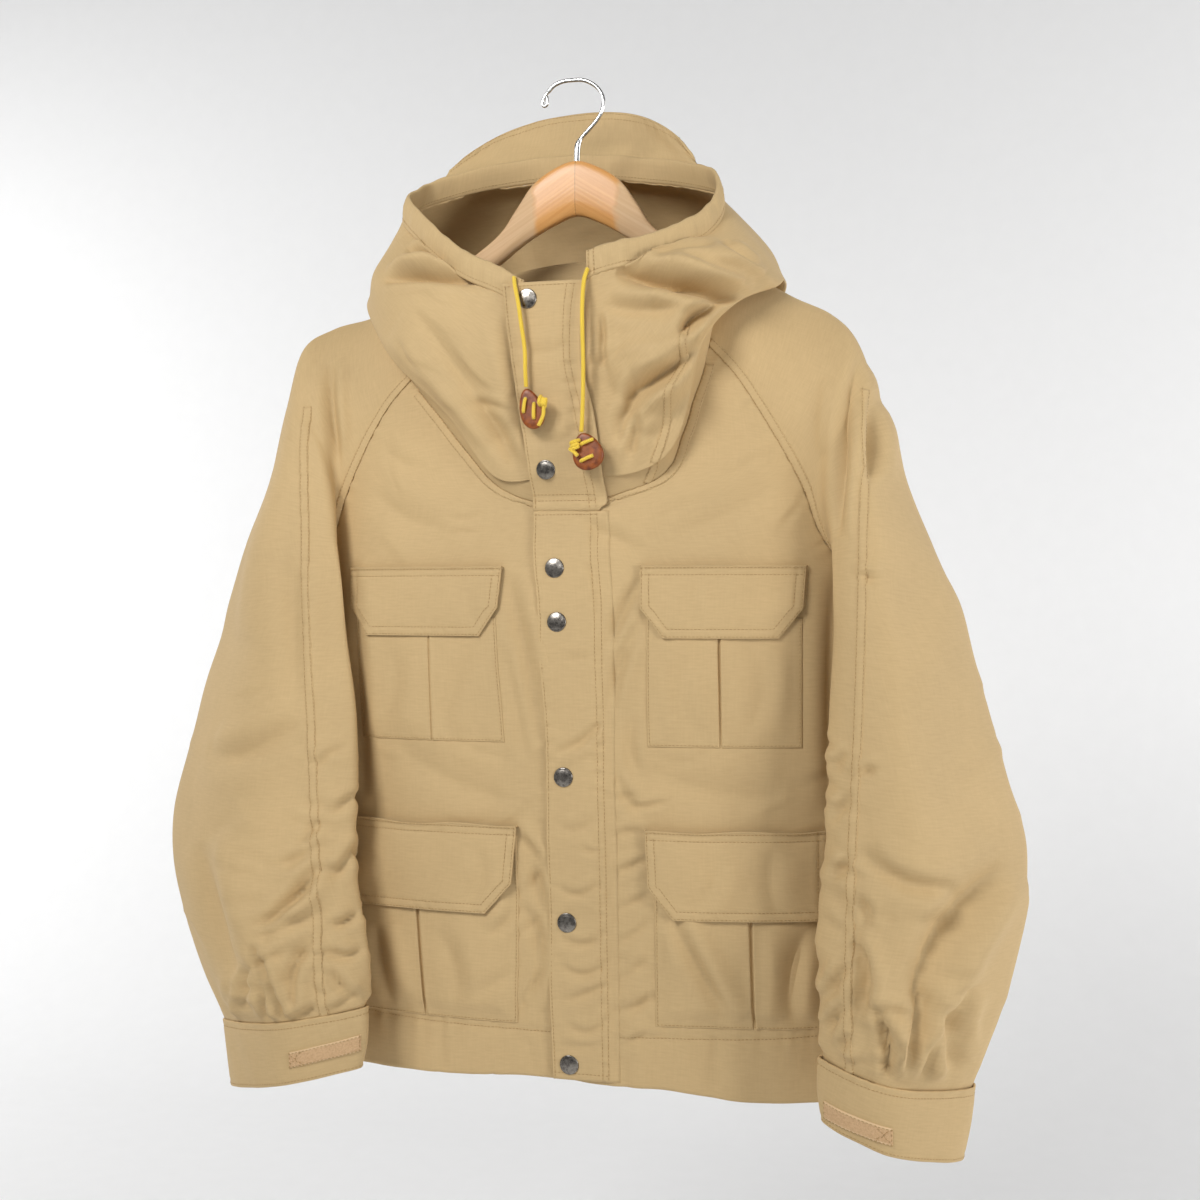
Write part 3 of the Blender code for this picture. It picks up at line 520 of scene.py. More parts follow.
def nearest_on(points, line):
    """Distance of flat points from a line, how far along it, and on which side."""
    best = np.full(len(points), 1e9)
    along = np.zeros(len(points))
    side = np.zeros(len(points))
    start = 0.0
    for a, b in zip(line[:-1], line[1:]):
        step = b - a
        length = float(np.hypot(*step)) or 1e-9
        t = np.clip((points - a) @ step / length ** 2, 0, 1)
        gap = points - a - t[:, None] * step
        away = np.hypot(gap[:, 0], gap[:, 1])
        closer = away < best
        best = np.where(closer, away, best)
        along = np.where(closer, start + t * length, along)
        side = np.where(closer, step[0] * gap[:, 1] - step[1] * gap[:, 0], side)
        start += length
    return best, along, side, start


def bell(offset):
    """Bell curve, 1 in the middle and nearly 0 at 2 on both sides."""
    return np.exp(-offset ** 2)


def crease_height(x, z, table):
    """Ridges (+) and troughs (-), each along a bow through three points, with one flank
    steeper than the other, and fading out at both ends."""
    points = np.stack([x.ravel(), z.ravel()], -1)
    height = np.zeros(len(points))
    t = np.linspace(0, 1, 13)[:, None]
    for ax, az, bx, bz, cx, cz, wide, high in table:
        a, b, c = np.array([(ax, az), (bx, bz), (cx, cz)], float)
        line = (1 - t) ** 2 * a + 2 * t * (1 - t) * (2 * b - 0.5 * (a + c)) + t * t * c
        close = np.all((points > line.min(0) - 3.5 * wide)
                       & (points < line.max(0) + 3.5 * wide), axis=1)
        if not close.any():
            continue
        away, along, side, length = nearest_on(points[close], line)
        fade = np.sin(np.pi * np.clip(along / length, 0, 1)) ** 0.6
        across = np.where(side > 0, away, -away) / wide
        if high < 0:
            # a trough is a sharp line with the cloth drawn up beside it
            shape = np.exp(-np.abs(across / 0.6) ** 1.3) - 0.7 * bell((across - 1.3) / 0.85) \
                - 0.35 * bell((across + 1.3) / 0.9)
        else:
            shape = np.exp(-np.abs(across / np.where(across > 0, 1.35, 0.6)) ** 1.8)
        height[close] += 1.55 * high * fade * shape
    return height.reshape(x.shape)


def scattered(seed, count, region, lean, high):
    """Rows of a crease table for small wrinkles in a region (left, right, low, top),
    leaning by about the given degrees, each of its own length, width and height."""
    rng = np.random.default_rng(seed)
    left, right, low, top = region
    rows = []
    for _ in range(count):
        x = rng.uniform(left, right)
        z = rng.uniform(low, top)
        turn = np.radians(lean + rng.normal(0, 16))
        half = 0.5 * rng.uniform(22, 58) * np.array([np.cos(turn), np.sin(turn)])
        bow = rng.normal(0, 0.16) * np.array([-half[1], half[0]])
        rows.append((x - half[0], z - half[1], x + bow[0], z + bow[1], x + half[0],
                     z + half[1], rng.uniform(3.5, 7.5),
                     high * rng.uniform(0.35, 1.0) * rng.choice((-1, -1, 1))))
    return rows


def pucker_height(x, z, line, seed, high, reach, shortest=6.0, longest=15.0):
    """Small ripples that a row of stitches draws across the cloth on both sides of it."""
    points = np.stack([x.ravel(), z.ravel()], -1)
    away, along, _, _ = nearest_on(points, np.asarray(line, float))
    ripple = high * bell(away / reach) * uneven(along, seed, shortest, longest)
    return ripple.reshape(x.shape)


def ease(value, low, high):
    """Smooth step from 0 at low to 1 at high."""
    t = np.clip((value - low) / (high - low), 0, 1)
    return t * t * (3 - 2 * t)


def read_at(where, along, points):
    """Points of a line, read at distances along it."""
    return np.stack([np.interp(where, along, column) for column in points.T], -1)


def front_panel(levels, side):
    """Front grid from the neck and raglan seams to the hem, and the place of each row."""
    centre, top_z = levels[-1][:2]
    outer = BODY_CX + side * BODY_A
    low = HEM_Z["side_l"] if side > 0 else HEM_Z["side_r"]
    spans = [list(row) for row in levels]
    for k in range(1, HEM_LEVELS + 1):
        f = k / HEM_LEVELS
        spans.append([centre, top_z + (HEM_Z["cf"] - top_z) * f,
                      outer, ARMPIT_Z + (low - ARMPIT_Z) * f])
    spans = np.array(spans, float)
    places, _ = even_places(spans[:, None, 2:], int(700 / GRID))
    rows = spline(spans, places)
    rows[:, 0] = (np.minimum if side < 0 else np.maximum)(rows[:, 0], centre)
    grid = []
    f = 1 - (1 - np.linspace(0, 1, 500)) ** 1.8
    for xa, za, xb, zb in rows:
        x = xa + (xb - xa) * f
        z = za + (zb - za) * f
        line = np.stack([x, body_y(x, z, 1), z], -1)
        along = run_of(line)
        grid.append(read_at(np.linspace(0, along[-1], int(250 / GRID)), along, line))
    return np.array(grid), places


def cloth_uv(grid):
    """Millimetres across and down the cloth for each point of a grid."""
    across = np.linalg.norm(np.diff(grid, axis=1), axis=2)
    across = np.concatenate([np.zeros((len(grid), 1)), np.cumsum(across, axis=1)], 1)
    down = np.linalg.norm(np.diff(grid, axis=0), axis=2).mean(axis=1)
    down = np.concatenate([[0.0], np.cumsum(down)])
    middle = 0.5 * across[:, -1:]
    return np.stack(np.broadcast_arrays(across - middle, down[:, None]), -1)


def surface(*grids):
    """Search tree over grids, to lay seams, pockets and stitches on them."""
    verts, faces, count = [], [], 0
    for grid in grids:
        rows, cols = grid.shape[:2]
        verts.append(grid.reshape(-1, 3))
        faces.append(quads(rows, cols, cols - 1) + count)
        count += rows * cols
    return BVHTree.FromPolygons(np.concatenate(verts).tolist(),
                                np.concatenate(faces).tolist())


def evened(line, step):
    """The line again with points about step apart."""
    line = np.asarray(line, float)
    along = run_of(line)
    even = np.linspace(0, along[-1], max(3, int(along[-1] / step) + 1))
    return read_at(even, along, line), even


def seen_on(tree, flat, face=-1.0):
    """Points of a surface that lie behind (x, z), seen from the front or the back."""
    found = []
    for x, z in flat:
        hit = tree.ray_cast(Vector((x, face * 400.0, z)), Vector((0.0, -face, 0.0)))[0]
        if hit is not None:
            found.append(tuple(hit))
    return np.array(found)


def laid(tree, points, outward):
    """Nearest points and normals of a surface, the normals turned to the given side."""
    spots = []
    normals = []
    for point, out in zip(points, outward):
        spot, normal, _, _ = tree.find_nearest(Vector(point))
        if normal.dot(Vector(out)) < 0:
            normal = -normal
        spots.append(tuple(spot))
        normals.append(tuple(normal))
    return np.array(spots), np.array(normals)


FELL_STITCH = 0.12
FELL_LIFT = 0.9
FELL_PUCKER = 0.35


def felled(tree, line, outward, seed, wide=7.0):
    """Felled seam: a folded strip of cloth over the seam line, drawn up into small puckers.

    Returns the strip's grid with its uv and the two rows of stitches along it.
    """
    line, along = evened(line, 1.7)
    outward = np.broadcast_to(outward, line.shape)
    spots, normals = laid(tree, line, outward)
    kernel = np.ones(7) / 7
    for c in range(3):
        normals[:, c] = np.convolve(np.pad(normals[:, c], 3, "edge"), kernel, "valid")
    normals = unit(normals)
    ahead = unit(np.gradient(spots, axis=0))
    sideways = unit(np.cross(normals, ahead))
    shares = (-0.5, -0.47, -0.38, -0.26, 0.0, 0.26, 0.38, 0.47, 0.5)
    rises = (-0.5, 0.55, 0.62, 0.9, 1.0, 0.9, 0.62, 0.55, -0.5)
    columns = []
    for share, rise in zip(shares, rises):
        ripple = uneven(along, seed + (share > 0), 5.0, 12.0) * (0.3 + abs(share))
        on, _ = laid(tree, spots + sideways * wide * share, normals)
        columns.append(on + normals * (FELL_LIFT * rise + FELL_PUCKER * ripple)[:, None])
    grid = np.array(columns).transpose(1, 0, 2)
    uv = np.stack(np.broadcast_arrays(np.array(shares)[None, :] * wide,
                                      along[:, None]), -1)
    rows = [grid[:, column] + normals * FELL_STITCH for column in (2, 6)]
    return (grid, uv, False, seam_flip(grid, normals)), rows


def seam_flip(grid, normals):
    """Which way round a strip's faces go so that they look along the normals."""
    down = grid[1:, :-1] - grid[:-1, :-1]
    across = grid[:-1, 1:] - grid[:-1, :-1]
    turn = np.cross(down, across).sum(axis=(0, 1))
    return 1 if turn @ normals.sum(axis=0) > 0 else -1


# 60/40 cloth: crosswise cotton slubs over fine nylon, washed soft. The threads are 0.3 mm apart,
# too fine to show, so the slubs are drawn about 1.5 mm apart and 12 mm long.
cloth, tree, shader = new_material("sand 60/40 cotton and nylon cloth")
lie = node(tree, "ShaderNodeUVMap", {"uv_map": "UVMap"})
place = object_place(tree)
weft = noise(tree, lie, (0.085, 0.68, 1.0), 3.0, 0.62)
warp = noise(tree, lie, (0.75, 0.05, 1.0), 2.0)
threads = node(tree, "ShaderNodeMix", {"data_type": "FLOAT", "Factor": 0.3, 2: weft, 3: warp})
fades = noise(tree, place, 11.0, 3.0)
tone = ramp(tree, threads, 0.3, "#BCA072", 0.7, "#C6AA7B")
washed = ranged(tree, fades, 0.955, 1.035, 0.3, 0.7)
wire_up(tree, shader, {"Base Color": tinted(tree, tone, washed),
                       "Normal": bump(tree, threads, 0.14, 0.0002), "Roughness": 0.78,
                       "Sheen Weight": 0.12, "Sheen Roughness": 0.45,
                       "Sheen Tint": linear("#F1DEBC")})

# Sewing thread: spun polyester a shade darker than the cloth, three plies that catch the light.
thread, tree, shader = new_material("spun polyester thread")
plies = noise(tree, object_place(tree), 900.0, 1.0)
wire_up(tree, shader, {"Base Color": blended(tree, plies, "#9C7C4E", "#B5955F"),
                       "Roughness": 0.6})

# Stitches: one lockstitch every 2.9 mm along each row, a short bead of thread drawn in.
stitching = bpy.data.node_groups.new("lockstitch rows", "GeometryNodeTree")
for name, kind, way in (("Geometry", "NodeSocketGeometry", "INPUT"),
                        ("Pitch", "NodeSocketFloat", "INPUT"),
                        ("Stitch length", "NodeSocketFloat", "INPUT"),
                        ("Thread width", "NodeSocketFloat", "INPUT"),
                        ("Thread", "NodeSocketMaterial", "INPUT"),
                        ("Geometry", "NodeSocketGeometry", "OUTPUT")):
    stitching.interface.new_socket(name=name, in_out=way, socket_type=kind)
given = node(stitching, "NodeGroupInput", {}).outputs
spaced = node(stitching, "GeometryNodeResampleCurve",
              {"mode": "LENGTH", "Curve": given["Geometry"], "Length": given["Pitch"]})
bead = node(stitching, "GeometryNodeMeshUVSphere", {"Segments": 5, "Rings": 3, "Radius": 0.5})
size = node(stitching, "ShaderNodeCombineXYZ", {
    "X": given["Stitch length"], "Y": given["Thread width"], "Z": given["Thread width"]})
turned = node(stitching, "GeometryNodeTransform",
              {"Geometry": bead, "Rotation": (0.0, np.pi / 2, 0.0)})
stitch = node(stitching, "GeometryNodeTransform", {"Geometry": turned, "Scale": size})
tangent = node(stitching, "GeometryNodeInputTangent", {})
aim = node(stitching, "FunctionNodeAlignRotationToVector", {"axis": "X", "Vector": tangent})
vary = node(stitching, "FunctionNodeRandomValue",
            {"data_type": "FLOAT", 2: 0.88, 3: 1.1, "Seed": 5})
planted = node(stitching, "GeometryNodeInstanceOnPoints",
               {"Points": spaced, "Instance": stitch, "Rotation": aim,
                "Scale": vary.outputs[1]})
real = node(stitching, "GeometryNodeRealizeInstances", {0: planted})
painted = node(stitching, "GeometryNodeSetMaterial",
               {"Geometry": real, "Material": given["Thread"]})
node(stitching, "NodeGroupOutput", {0: painted})


STITCH_PITCH = 2.9
STITCH_LENGTH = 2.3
THREAD_WIDTH = 0.55


def sew(name, rows):
    """Rows of stitches along lines of points in millimetres, as one plain mesh."""
    curve = bpy.data.curves.new(name, "CURVE")
    curve.dimensions = "3D"
    for row in rows:
        path = curve.splines.new("POLY")
        path.points.add(len(row) - 1)
        flat = np.concatenate([np.asarray(row) * 0.001, np.ones((len(row), 1))], 1)
        path.points.foreach_set("co", flat.ravel())
    holder = placed(name, curve)
    modifier = holder.modifiers.new("stitches", "NODES")
    modifier.node_group = stitching
    values = {"Pitch": STITCH_PITCH * 0.001, "Stitch length": STITCH_LENGTH * 0.001,
              "Thread width": THREAD_WIDTH * 0.001, "Thread": thread}
    for item in stitching.interface.items_tree:
        if item.in_out == "INPUT" and item.name in values:
            modifier[item.identifier] = values[item.name]
    seen = holder.evaluated_get(bpy.context.evaluated_depsgraph_get())
    mesh = bpy.data.meshes.new_from_object(seen)
    bpy.data.objects.remove(holder)
    mesh.shade_smooth()
    piece = placed(name, mesh)
    fix(piece, "parka_cloth")
    return piece


def thicken(piece, thick):
    """Wall of a thickness in millimetres, inward from the outer face."""
    wall = piece.modifiers.new("thickness", "SOLIDIFY")
    wall.thickness = thick * 0.001
    wall.offset = -1.0


def finish_cloth(piece, solid, thick=CLOTH):
    """Give a cloth panel its thickness and fasten it in place of its solid."""
    if thick:
        thicken(piece, thick)
    fix(piece, "parka_cloth", solid)


HEM_TURN = 13.0
HEM_GAP = 1.7


def turned_hem(grid, normals):
    """Panel with its lower edge turned up inside."""
    base = grid[-1]
    rise = unit(grid[-8] - base)
    rows = [base - normals[-1] * HEM_GAP * inward + rise * height
            for inward, height in ((0.35, -0.45), (0.5, -0.6), (0.8, -0.35), (1.0, 1.5),
                                   (1.0, 0.5 * HEM_TURN), (1.0, HEM_TURN))]
    return np.concatenate([grid, np.array(rows)])


CASING_Z = -746.0
CASING_BOW = 0.00012
FRONT_WRINKLES = []
for seed, count, x0, x1, z0, z1, lean, high in FRONT_REGIONS:
    FRONT_WRINKLES += scattered(seed, count, (x0, x1, z0, z1), lean, high)
fronts = {}
for name, levels, side in (("right", FRONT_LEVELS_R, -1), ("left", FRONT_LEVELS_L, 1)):
    base, places = front_panel(levels, side)
    normals = grid_normals(base, side)
    x = base[..., 0]
    z = base[..., 2]
    raglan = base[places <= 8.0, -1][:, (0, 2)]
    neck = base[places <= 5.0, 0][:, (0, 2)]
    height = crease_height(x, z, FRONT_CREASES + FRONT_WRINKLES)
    height -= 1.1 * drift(x, z, 11 if side < 0 else 12) * ease(z, -300, -420)
    height += 1.3 * drift(x, z, 13, 70, 500) * ease(-z, 640, 780)
    height += pucker_height(x, z, raglan, 21, 0.55, 8.0)
    height += pucker_height(x, z, neck, 22, 0.5, 8.0)
    # the casing of the hem: a dent along its stitches, gathered a little above and below
    casing = z - CASING_Z - CASING_BOW * (x - BODY_CX) ** 2
    height -= 0.9 * bell(casing / 2.2)
    height += 0.6 * bell(casing / 11) * uneven(x, 23, 7, 19)
    grid = base + normals * height[..., None]
    # the edge of the hem rises and falls a little
    grid[..., 2] += 1.6 * uneven(x, 24, 60, 190) * ease(-z, 700, 785)
    fronts[name] = {"base": base, "places": places, "grid": grid,
                    "normals": grid_normals(grid, side)}
front_tree = surface(fronts["right"]["grid"], fronts["left"]["grid"])

# ------------------------------------------------------------ sleeves
# Raglan sleeves: each is cut in two with a felled seam down the front, set on the hanger's
# end, hanging full at the elbow and gathered into the cuff with two deep tucks.
SLEEVE_TOP_R = [
    # front seam is on the front; v x y z, e x y z, m x y z, o x y z, k x y z, back seam x z
    (-118, -53, -217, -117, -40, -188, -115, -22, -164, -112, 2, -147, -106, 26, -146,
     -100, -150),
    (-141, -55, -236, -143, -43, -209, -143, -26, -183, -143, 0, -163, -138, 25, -167,
     -124, -186),
    (-160, -56, -258, -168, -47, -231, -172, -31, -203, -174, -4, -181, -168, 22, -192,
     -144, -222),
    (-176, -57, -281, -190, -53, -252, -201, -40, -223, -205, -14, -192, -196, 18, -214,
     -160, -254),
    (-184, -58, -300, -202, -60, -272, -218, -50, -238, -226, -28, -210, -212, 14, -238,
     -172, -286),
    (-187, -58, -320, -196, -66, -298, -222, -62, -272, -240, -26, -258, -222, 13, -272,
     -183, -316),
    (-188, -58, -345, -187, -70, -333, -228, -70, -318, -259, -22, -318, -238, 14, -322,
     -195, -348),
    (-190, -60, -372, -180, -75, -366, -236, -76, -362, -281, -19, -370, -250, 14, -368,
     -210, -378),
    (-188, -62, -402, -172, -79, -404, -240, -80, -410, -300, -18, -417, -256, 12, -412,
     -223, -405),
]
SLEEVE_TOP_L = [
    # front seam is on the front; v x y z, e x y z, m x y z, o x y z, k x y z, back seam x z
    (119, -52, -203, 118, -40, -181, 116, -22, -161, 113, 2, -147, 107, 26, -146, 100, -150),
    (144, -55, -225, 145, -43, -203, 145, -26, -182, 145, 0, -164, 140, 25, -168, 125, -187),
    (165, -57, -250, 172, -47, -227, 174, -31, -203, 176, -4, -183, 170, 22, -195, 146, -224),
    (184, -58, -277, 195, -53, -252, 202, -40, -225, 206, -14, -200, 198, 18, -218, 163, -257),
    (196, -58, -300, 211, -60, -274, 221, -50, -246, 228, -28, -224, 216, 14, -244, 176, -289),
    (203, -58, -322, 217, -66, -300, 230, -62, -280, 244, -26, -268, 228, 15, -282, 187, -318),
    (207, -60, -348, 217, -72, -340, 240, -74, -330, 263, -22, -330, 244, 18, -334, 200, -350),
    (212, -62, -376, 216, -77, -372, 248, -84, -368, 282, -20, -378, 258, 20, -374, 218, -380),
    (222, -64, -406, 216, -82, -408, 254, -90, -412, 296, -20, -419, 266, 20, -414, 233, -405),
]
SLEEVE_LOW_R = [
    # u x y, v x y, e x y, m x y, o x y, k x y, z of e, z of o
    (-216, -36, -186, -60, -166, -82, -240, -84, -308, -18, -258, 12, -446, -452),
    (-212, -40, -180, -64, -158, -88, -242, -92, -322, -22, -258, 8, -496, -500),
    (-210, -42, -178, -66, -154, -94, -244, -98, -334, -28, -258, 6, -546, -548),
    (-208, -44, -176, -68, -153, -99, -246, -104, -340, -34, -256, 4, -590, -592),
    (-206, -46, -172, -70, -150, -103, -240, -112, -336, -42, -252, 2, -630, -634),
    (-198, -50, -164, -74, -141, -106, -228, -120, -324, -48, -244, -10, -668, -676),
    (-192, -54, -158, -76, -136, -109, -218, -124, -302, -56, -236, -20, -702, -722),
    (-188, -56, -158, -80, -140, -108, -206, -120, -280, -62, -226, -30, -729, -757),
]
SLEEVE_LOW_L = [
    # u x y, v x y, e x y, m x y, o x y, k x y, z of e, z of o
    (246, -30, 230, -56, 217, -86, 262, -98, 306, -20, 276, 20, -446, -454),
    (248, -34, 232, -60, 216, -91, 268, -106, 322, -20, 284, 20, -492, -500),
    (250, -38, 232, -62, 215, -95, 274, -112, 336, -22, 290, 20, -538, -548),
    (250, -42, 230, -66, 214, -99, 280, -118, 350, -26, 296, 16, -580, -592),
    (248, -46, 226, -70, 211, -103, 280, -122, 350, -34, 296, 10, -622, -634),
    (246, -50, 224, -74, 210, -106, 276, -126, 342, -42, 292, 2, -664, -676),
    (244, -54, 224, -78, 211, -108, 270, -128, 330, -50, 284, -10, -706, -724),
    (244, -58, 226, -82, 212, -107, 262, -124, 313, -60, 276, -24, -741, -766),
]
SLEEVE_CREASES_R = [
    # from x z, through x z, to x z, width, height
    (-197, -222, -187, -275, -170, -370, 7, -5),
    (-289, -535, -254, -540, -197, -512, 13, -3.6),
    (-176, -620, -192, -647, -221, -667, 7, -6),
    (-177, -657, -197, -666, -219, -678, 7, -5),
    (-176, -639, -192, -656, -212, -670, 7, 3.5),
    (-224, -680, -208, -708, -195, -745, 5, -7),
    (-221, -701, -213, -721, -213, -749, 5, -6),
    (-289, -611, -265, -667, -234, -717, 18, -5),
    (-268, -599, -239, -650, -219, -685, 20, 4),
    (-174, -675, -188, -696, -190, -722, 6, -4.5),
    (-194, -741, -183, -733, -171, -726, 5, -4),
    (-177, -709, -183, -719, -181, -729, 5, 3),
    (-163, -665, -152, -662, -143, -654, 5, -4),
    (-160, -697, -151, -712, -138, -718, 6, -4.5),
    (-165, -631, -155, -617, -144, -600, 5, -3.5),
    (-161, -682, -149, -687, -138, -681, 5, -3.5),
    (-166, -583, -157, -572, -148, -567, 5, -3),
    (-160, -731, -149, -722, -138, -724, 5, -3),
    (-177, -586, -185, -599, -194, -604, 5, -3),
    (-180, -604, -194, -617, -208, -620, 6, -3),
    (-245, -739, -234, -723, -231, -702, 7, -3),
    (-178, -545, -170, -535, -160, -532, 5, -2.4),
    (-230, -314, -246, -385, -261, -448, 24, 3),
    (-211, -385, -206, -448, -202, -495, 12, -2.4),
]
SLEEVE_CREASES_L = [
    # from x z, through x z, to x z, width, height
    (231, -235, 224, -288, 218, -370, 7, -5),
    (237, -269, 240, -300, 242, -331, 7, -5.5),
    (209, -253, 206, -280, 205, -309, 8, 2),
    (241, -590, 270, -610, 303, -614, 9, -4.5),
    (335, -606, 296, -643, 277, -698, 14, -8),
    (349, -618, 314, -658, 300, -709, 15, 4.5),
    (245, -696, 258, -710, 259, -746, 5, -6),
    (279, -676, 281, -702, 268, -740, 6, -6.5),
    (253, -700, 267, -717, 264, -747, 5, 4),
    (234, -653, 245, -673, 238, -705, 6, -5.5),
    (238, -646, 253, -676, 247, -711, 7, 3.5),
    (215, -697, 224, -681, 231, -669, 5, -4.5),
    (217, -717, 224, -705, 229, -696, 5, -4),
    (218, -612, 226, -603, 231, -595, 5, -3.5),
    (218, -573, 225, -562, 231, -554, 5, -3),
    (219, -536, 225, -528, 229, -525, 5, -3),
    (311, -683, 300, -715, 305, -745, 8, -4.5),
    (288, -716, 285, -730, 283, -749, 5, -4),
    (239, -539, 245, -535, 250, -536, 5, -3),
    (237, -624, 243, -629, 245, -642, 5, -4),
    (237, -401, 241, -400, 248, -403, 5, -3),
    (225, -731, 230, -722, 232, -714, 5, -3.5),
    (306, -388, 292, -445, 282, -501, 26, 2.6),
]
SLEEVE_REGIONS = [
    # side, seed, how many, left, right, low, top, lean in degrees, height
    (-1, 211, 16, -184, -158, -740, -480, -22, 1.7),
    (-1, 212, 12, -245, -195, -745, -590, 12, 1.7),
    (-1, 213, 8, -320, -240, -700, -480, -18, 1.0),
    (-1, 214, 8, -260, -196, -758, -690, 78, 1.6),
    (1, 215, 16, 210, 232, -750, -470, -36, 1.7),
    (1, 216, 10, 240, 300, -750, -600, -30, 1.7),
    (1, 217, 8, 270, 340, -700, -470, 24, 1.0),
    (1, 218, 8, 246, 312, -764, -700, 96, 1.6),
]
BACK_SLEEVE_CREASES = [
    # from x z, through x z, to x z, width, height; x is counted away from the middle
    (232, -300, 226, -360, 228, -440, 14, -3),
    (320, -560, 285, -575, 245, -560, 12, -3),
    (318, -622, 290, -640, 262, -668, 10, -4),
    (300, -668, 280, -700, 262, -742, 9, -4),
    (262, -690, 254, -720, 246, -750, 7, 3),
    (240, -610, 262, -640, 268, -680, 10, -2.5),
    (285, -400, 276, -460, 280, -520, 18, 2.2),
]
FELLED_R = [
    # x, z down the front of the sleeve
    (-208, -262), (-206, -300), (-200, -360), (-197, -416), (-184, -541), (-173, -648),
    (-166, -727), (-164, -742),
]
FELLED_L = [
    # x, z down the front of the sleeve
    (236, -262), (237, -300), (238, -353), (237, -488), (233, -600), (232, -680),
    (232, -756),
]


def ring_row(row):
    """Points round the arm from one row of a table, below the armpit or on the cuff."""
    *flat, ze, zo = row
    flat = np.array(flat, float).reshape(6, 2)
    ex, ox = flat[2, 0], flat[4, 0]
    loop = np.column_stack([flat, ze + (zo - ze) * (flat[:, 0] - ex) / (ox - ex)])
    wide = np.concatenate([loop[-2:], loop, loop[:3]])
    return spline(wide, np.linspace(0, len(wide) - 1, 2 * len(wide) - 1))[4:17]


def sleeve_panel(top, low, levels):
    """Coarse sleeve: 17 rows down the arm, 13 columns from the front seam round the back."""
    rows = []
    for row, level in zip(top, levels):
        fx, fz = level[2:]
        bx, bz = row[15:]
        points = [(fx, float(body_y(fx, fz, 1)), fz)]
        points += [row[i:i + 3] for i in range(0, 15, 3)]
        points.append((bx, float(body_y(bx, bz, 2)), bz))
        rows.append(spline(points, np.linspace(0, 6, 13)))
    rows += [ring_row(row) for row in low]
    return np.array(rows)


sleeves = {}
for name, top, low, levels, creases, path, side in (
        ("right", SLEEVE_TOP_R, SLEEVE_LOW_R, FRONT_LEVELS_R, SLEEVE_CREASES_R, FELLED_R, -1),
        ("left", SLEEVE_TOP_L, SLEEVE_LOW_L, FRONT_LEVELS_L, SLEEVE_CREASES_L, FELLED_L, 1)):
    coarse = sleeve_panel(top, low, levels)
    down, _ = even_places(coarse, int(620 / GRID))
    round_arm, around = even_places(coarse.transpose(1, 0, 2), int(330 / GRID))
    base = spline(coarse, down)
    base = spline(base.transpose(1, 0, 2), round_arm).transpose(1, 0, 2)
    armhole = down <= 8.0
    base[armhole, 0, 1] = body_y(base[armhole, 0, 0], base[armhole, 0, 2], 1)
    base[armhole, -1, 1] = body_y(base[armhole, -1, 0], base[armhole, -1, 2], 2)
    normals = grid_normals(base, side)
    below = ~armhole
    normals[below, 0] = normals[below, -1] = unit(normals[below, 0] + normals[below, -1])
    x = base[..., 0]
    z = base[..., 2]
    c = np.broadcast_to(round_arm[None, :], x.shape)
    r = np.broadcast_to(down[:, None], x.shape)
    in_front = ease(c, 1.0, 2.6) * (1 - ease(c, 8.2, 9.2))
    behind = ease(c, 7.6, 8.8) * (1 - ease(c, 11.0, 11.8))
    wrinkles = []
    for way, seed, count, x0, x1, z0, z1, lean, high in SLEEVE_REGIONS:
        if way == side:
            wrinkles += scattered(seed, count, (x0, x1, z0, z1), lean, high)
    height = in_front * crease_height(x, z, creases + wrinkles)
    height += behind * crease_height(np.abs(x), z, BACK_SLEEVE_CREASES)
    height += in_front * pucker_height(x, z, path, 31, 0.7, 9.0, 7.0, 17.0)
    height += 1.4 * drift(x, z, 32 + side, 120, 220) * ease(c, 1, 3) * (1 - ease(c, 10, 12))
    # gathered into the cuff
    gather = ease(r, 14.6, 16.0) * (1 - 0.55 * ease(r, 15.7, 16.0))
    height += 1.7 * gather * uneven(c * around / 12, 34, 13, 30) * ease(c, 0.2, 1.0) \
        * (1 - ease(c, 11.0, 11.8))
    # the end lies inside the cuff
    tucked = ease(r, 15.6, 15.95)
    height = height * (1 - tucked) - 0.8 * tucked
    grid = base + normals * height[..., None]
    sleeves[name] = {"base": base, "grid": grid, "path": path, "armhole": armhole}

# ------------------------------------------------------------ back
# One wide back between the back raglan seams and the side seams, flat across the shoulders
# and hanging in long shallow folds below them.
BACK_CREASES = [
    # from x z, through x z, to x z, width, height
    (-120, -330, -95, -480, -104, -640, 22, -3.4),
    (-60, -420, -40, -560, -52, -720, 20, 2.8),
    (20, -360, 34, -520, 22, -700, 24, -3.0),
    (92, -350, 112, -500, 100, -660, 20, -3.6),
    (150, -420, 160, -560, 150, -700, 18, 3.0),
    (-170, -420, -165, -520, -172, -640, 16, 2.6),
    (-150, -300, -60, -330, 30, -318, 18, -1.8),
    (-30, -318, 70, -334, 150, -304, 16, -1.8),
    (-60, -640, 20, -668, 90, -650, 14, -1.8),
    (60, -690, 90, -720, 130, -738, 9, -2.0),
    (-140, -700, -110, -722, -70, -738, 9, -2.0),
]


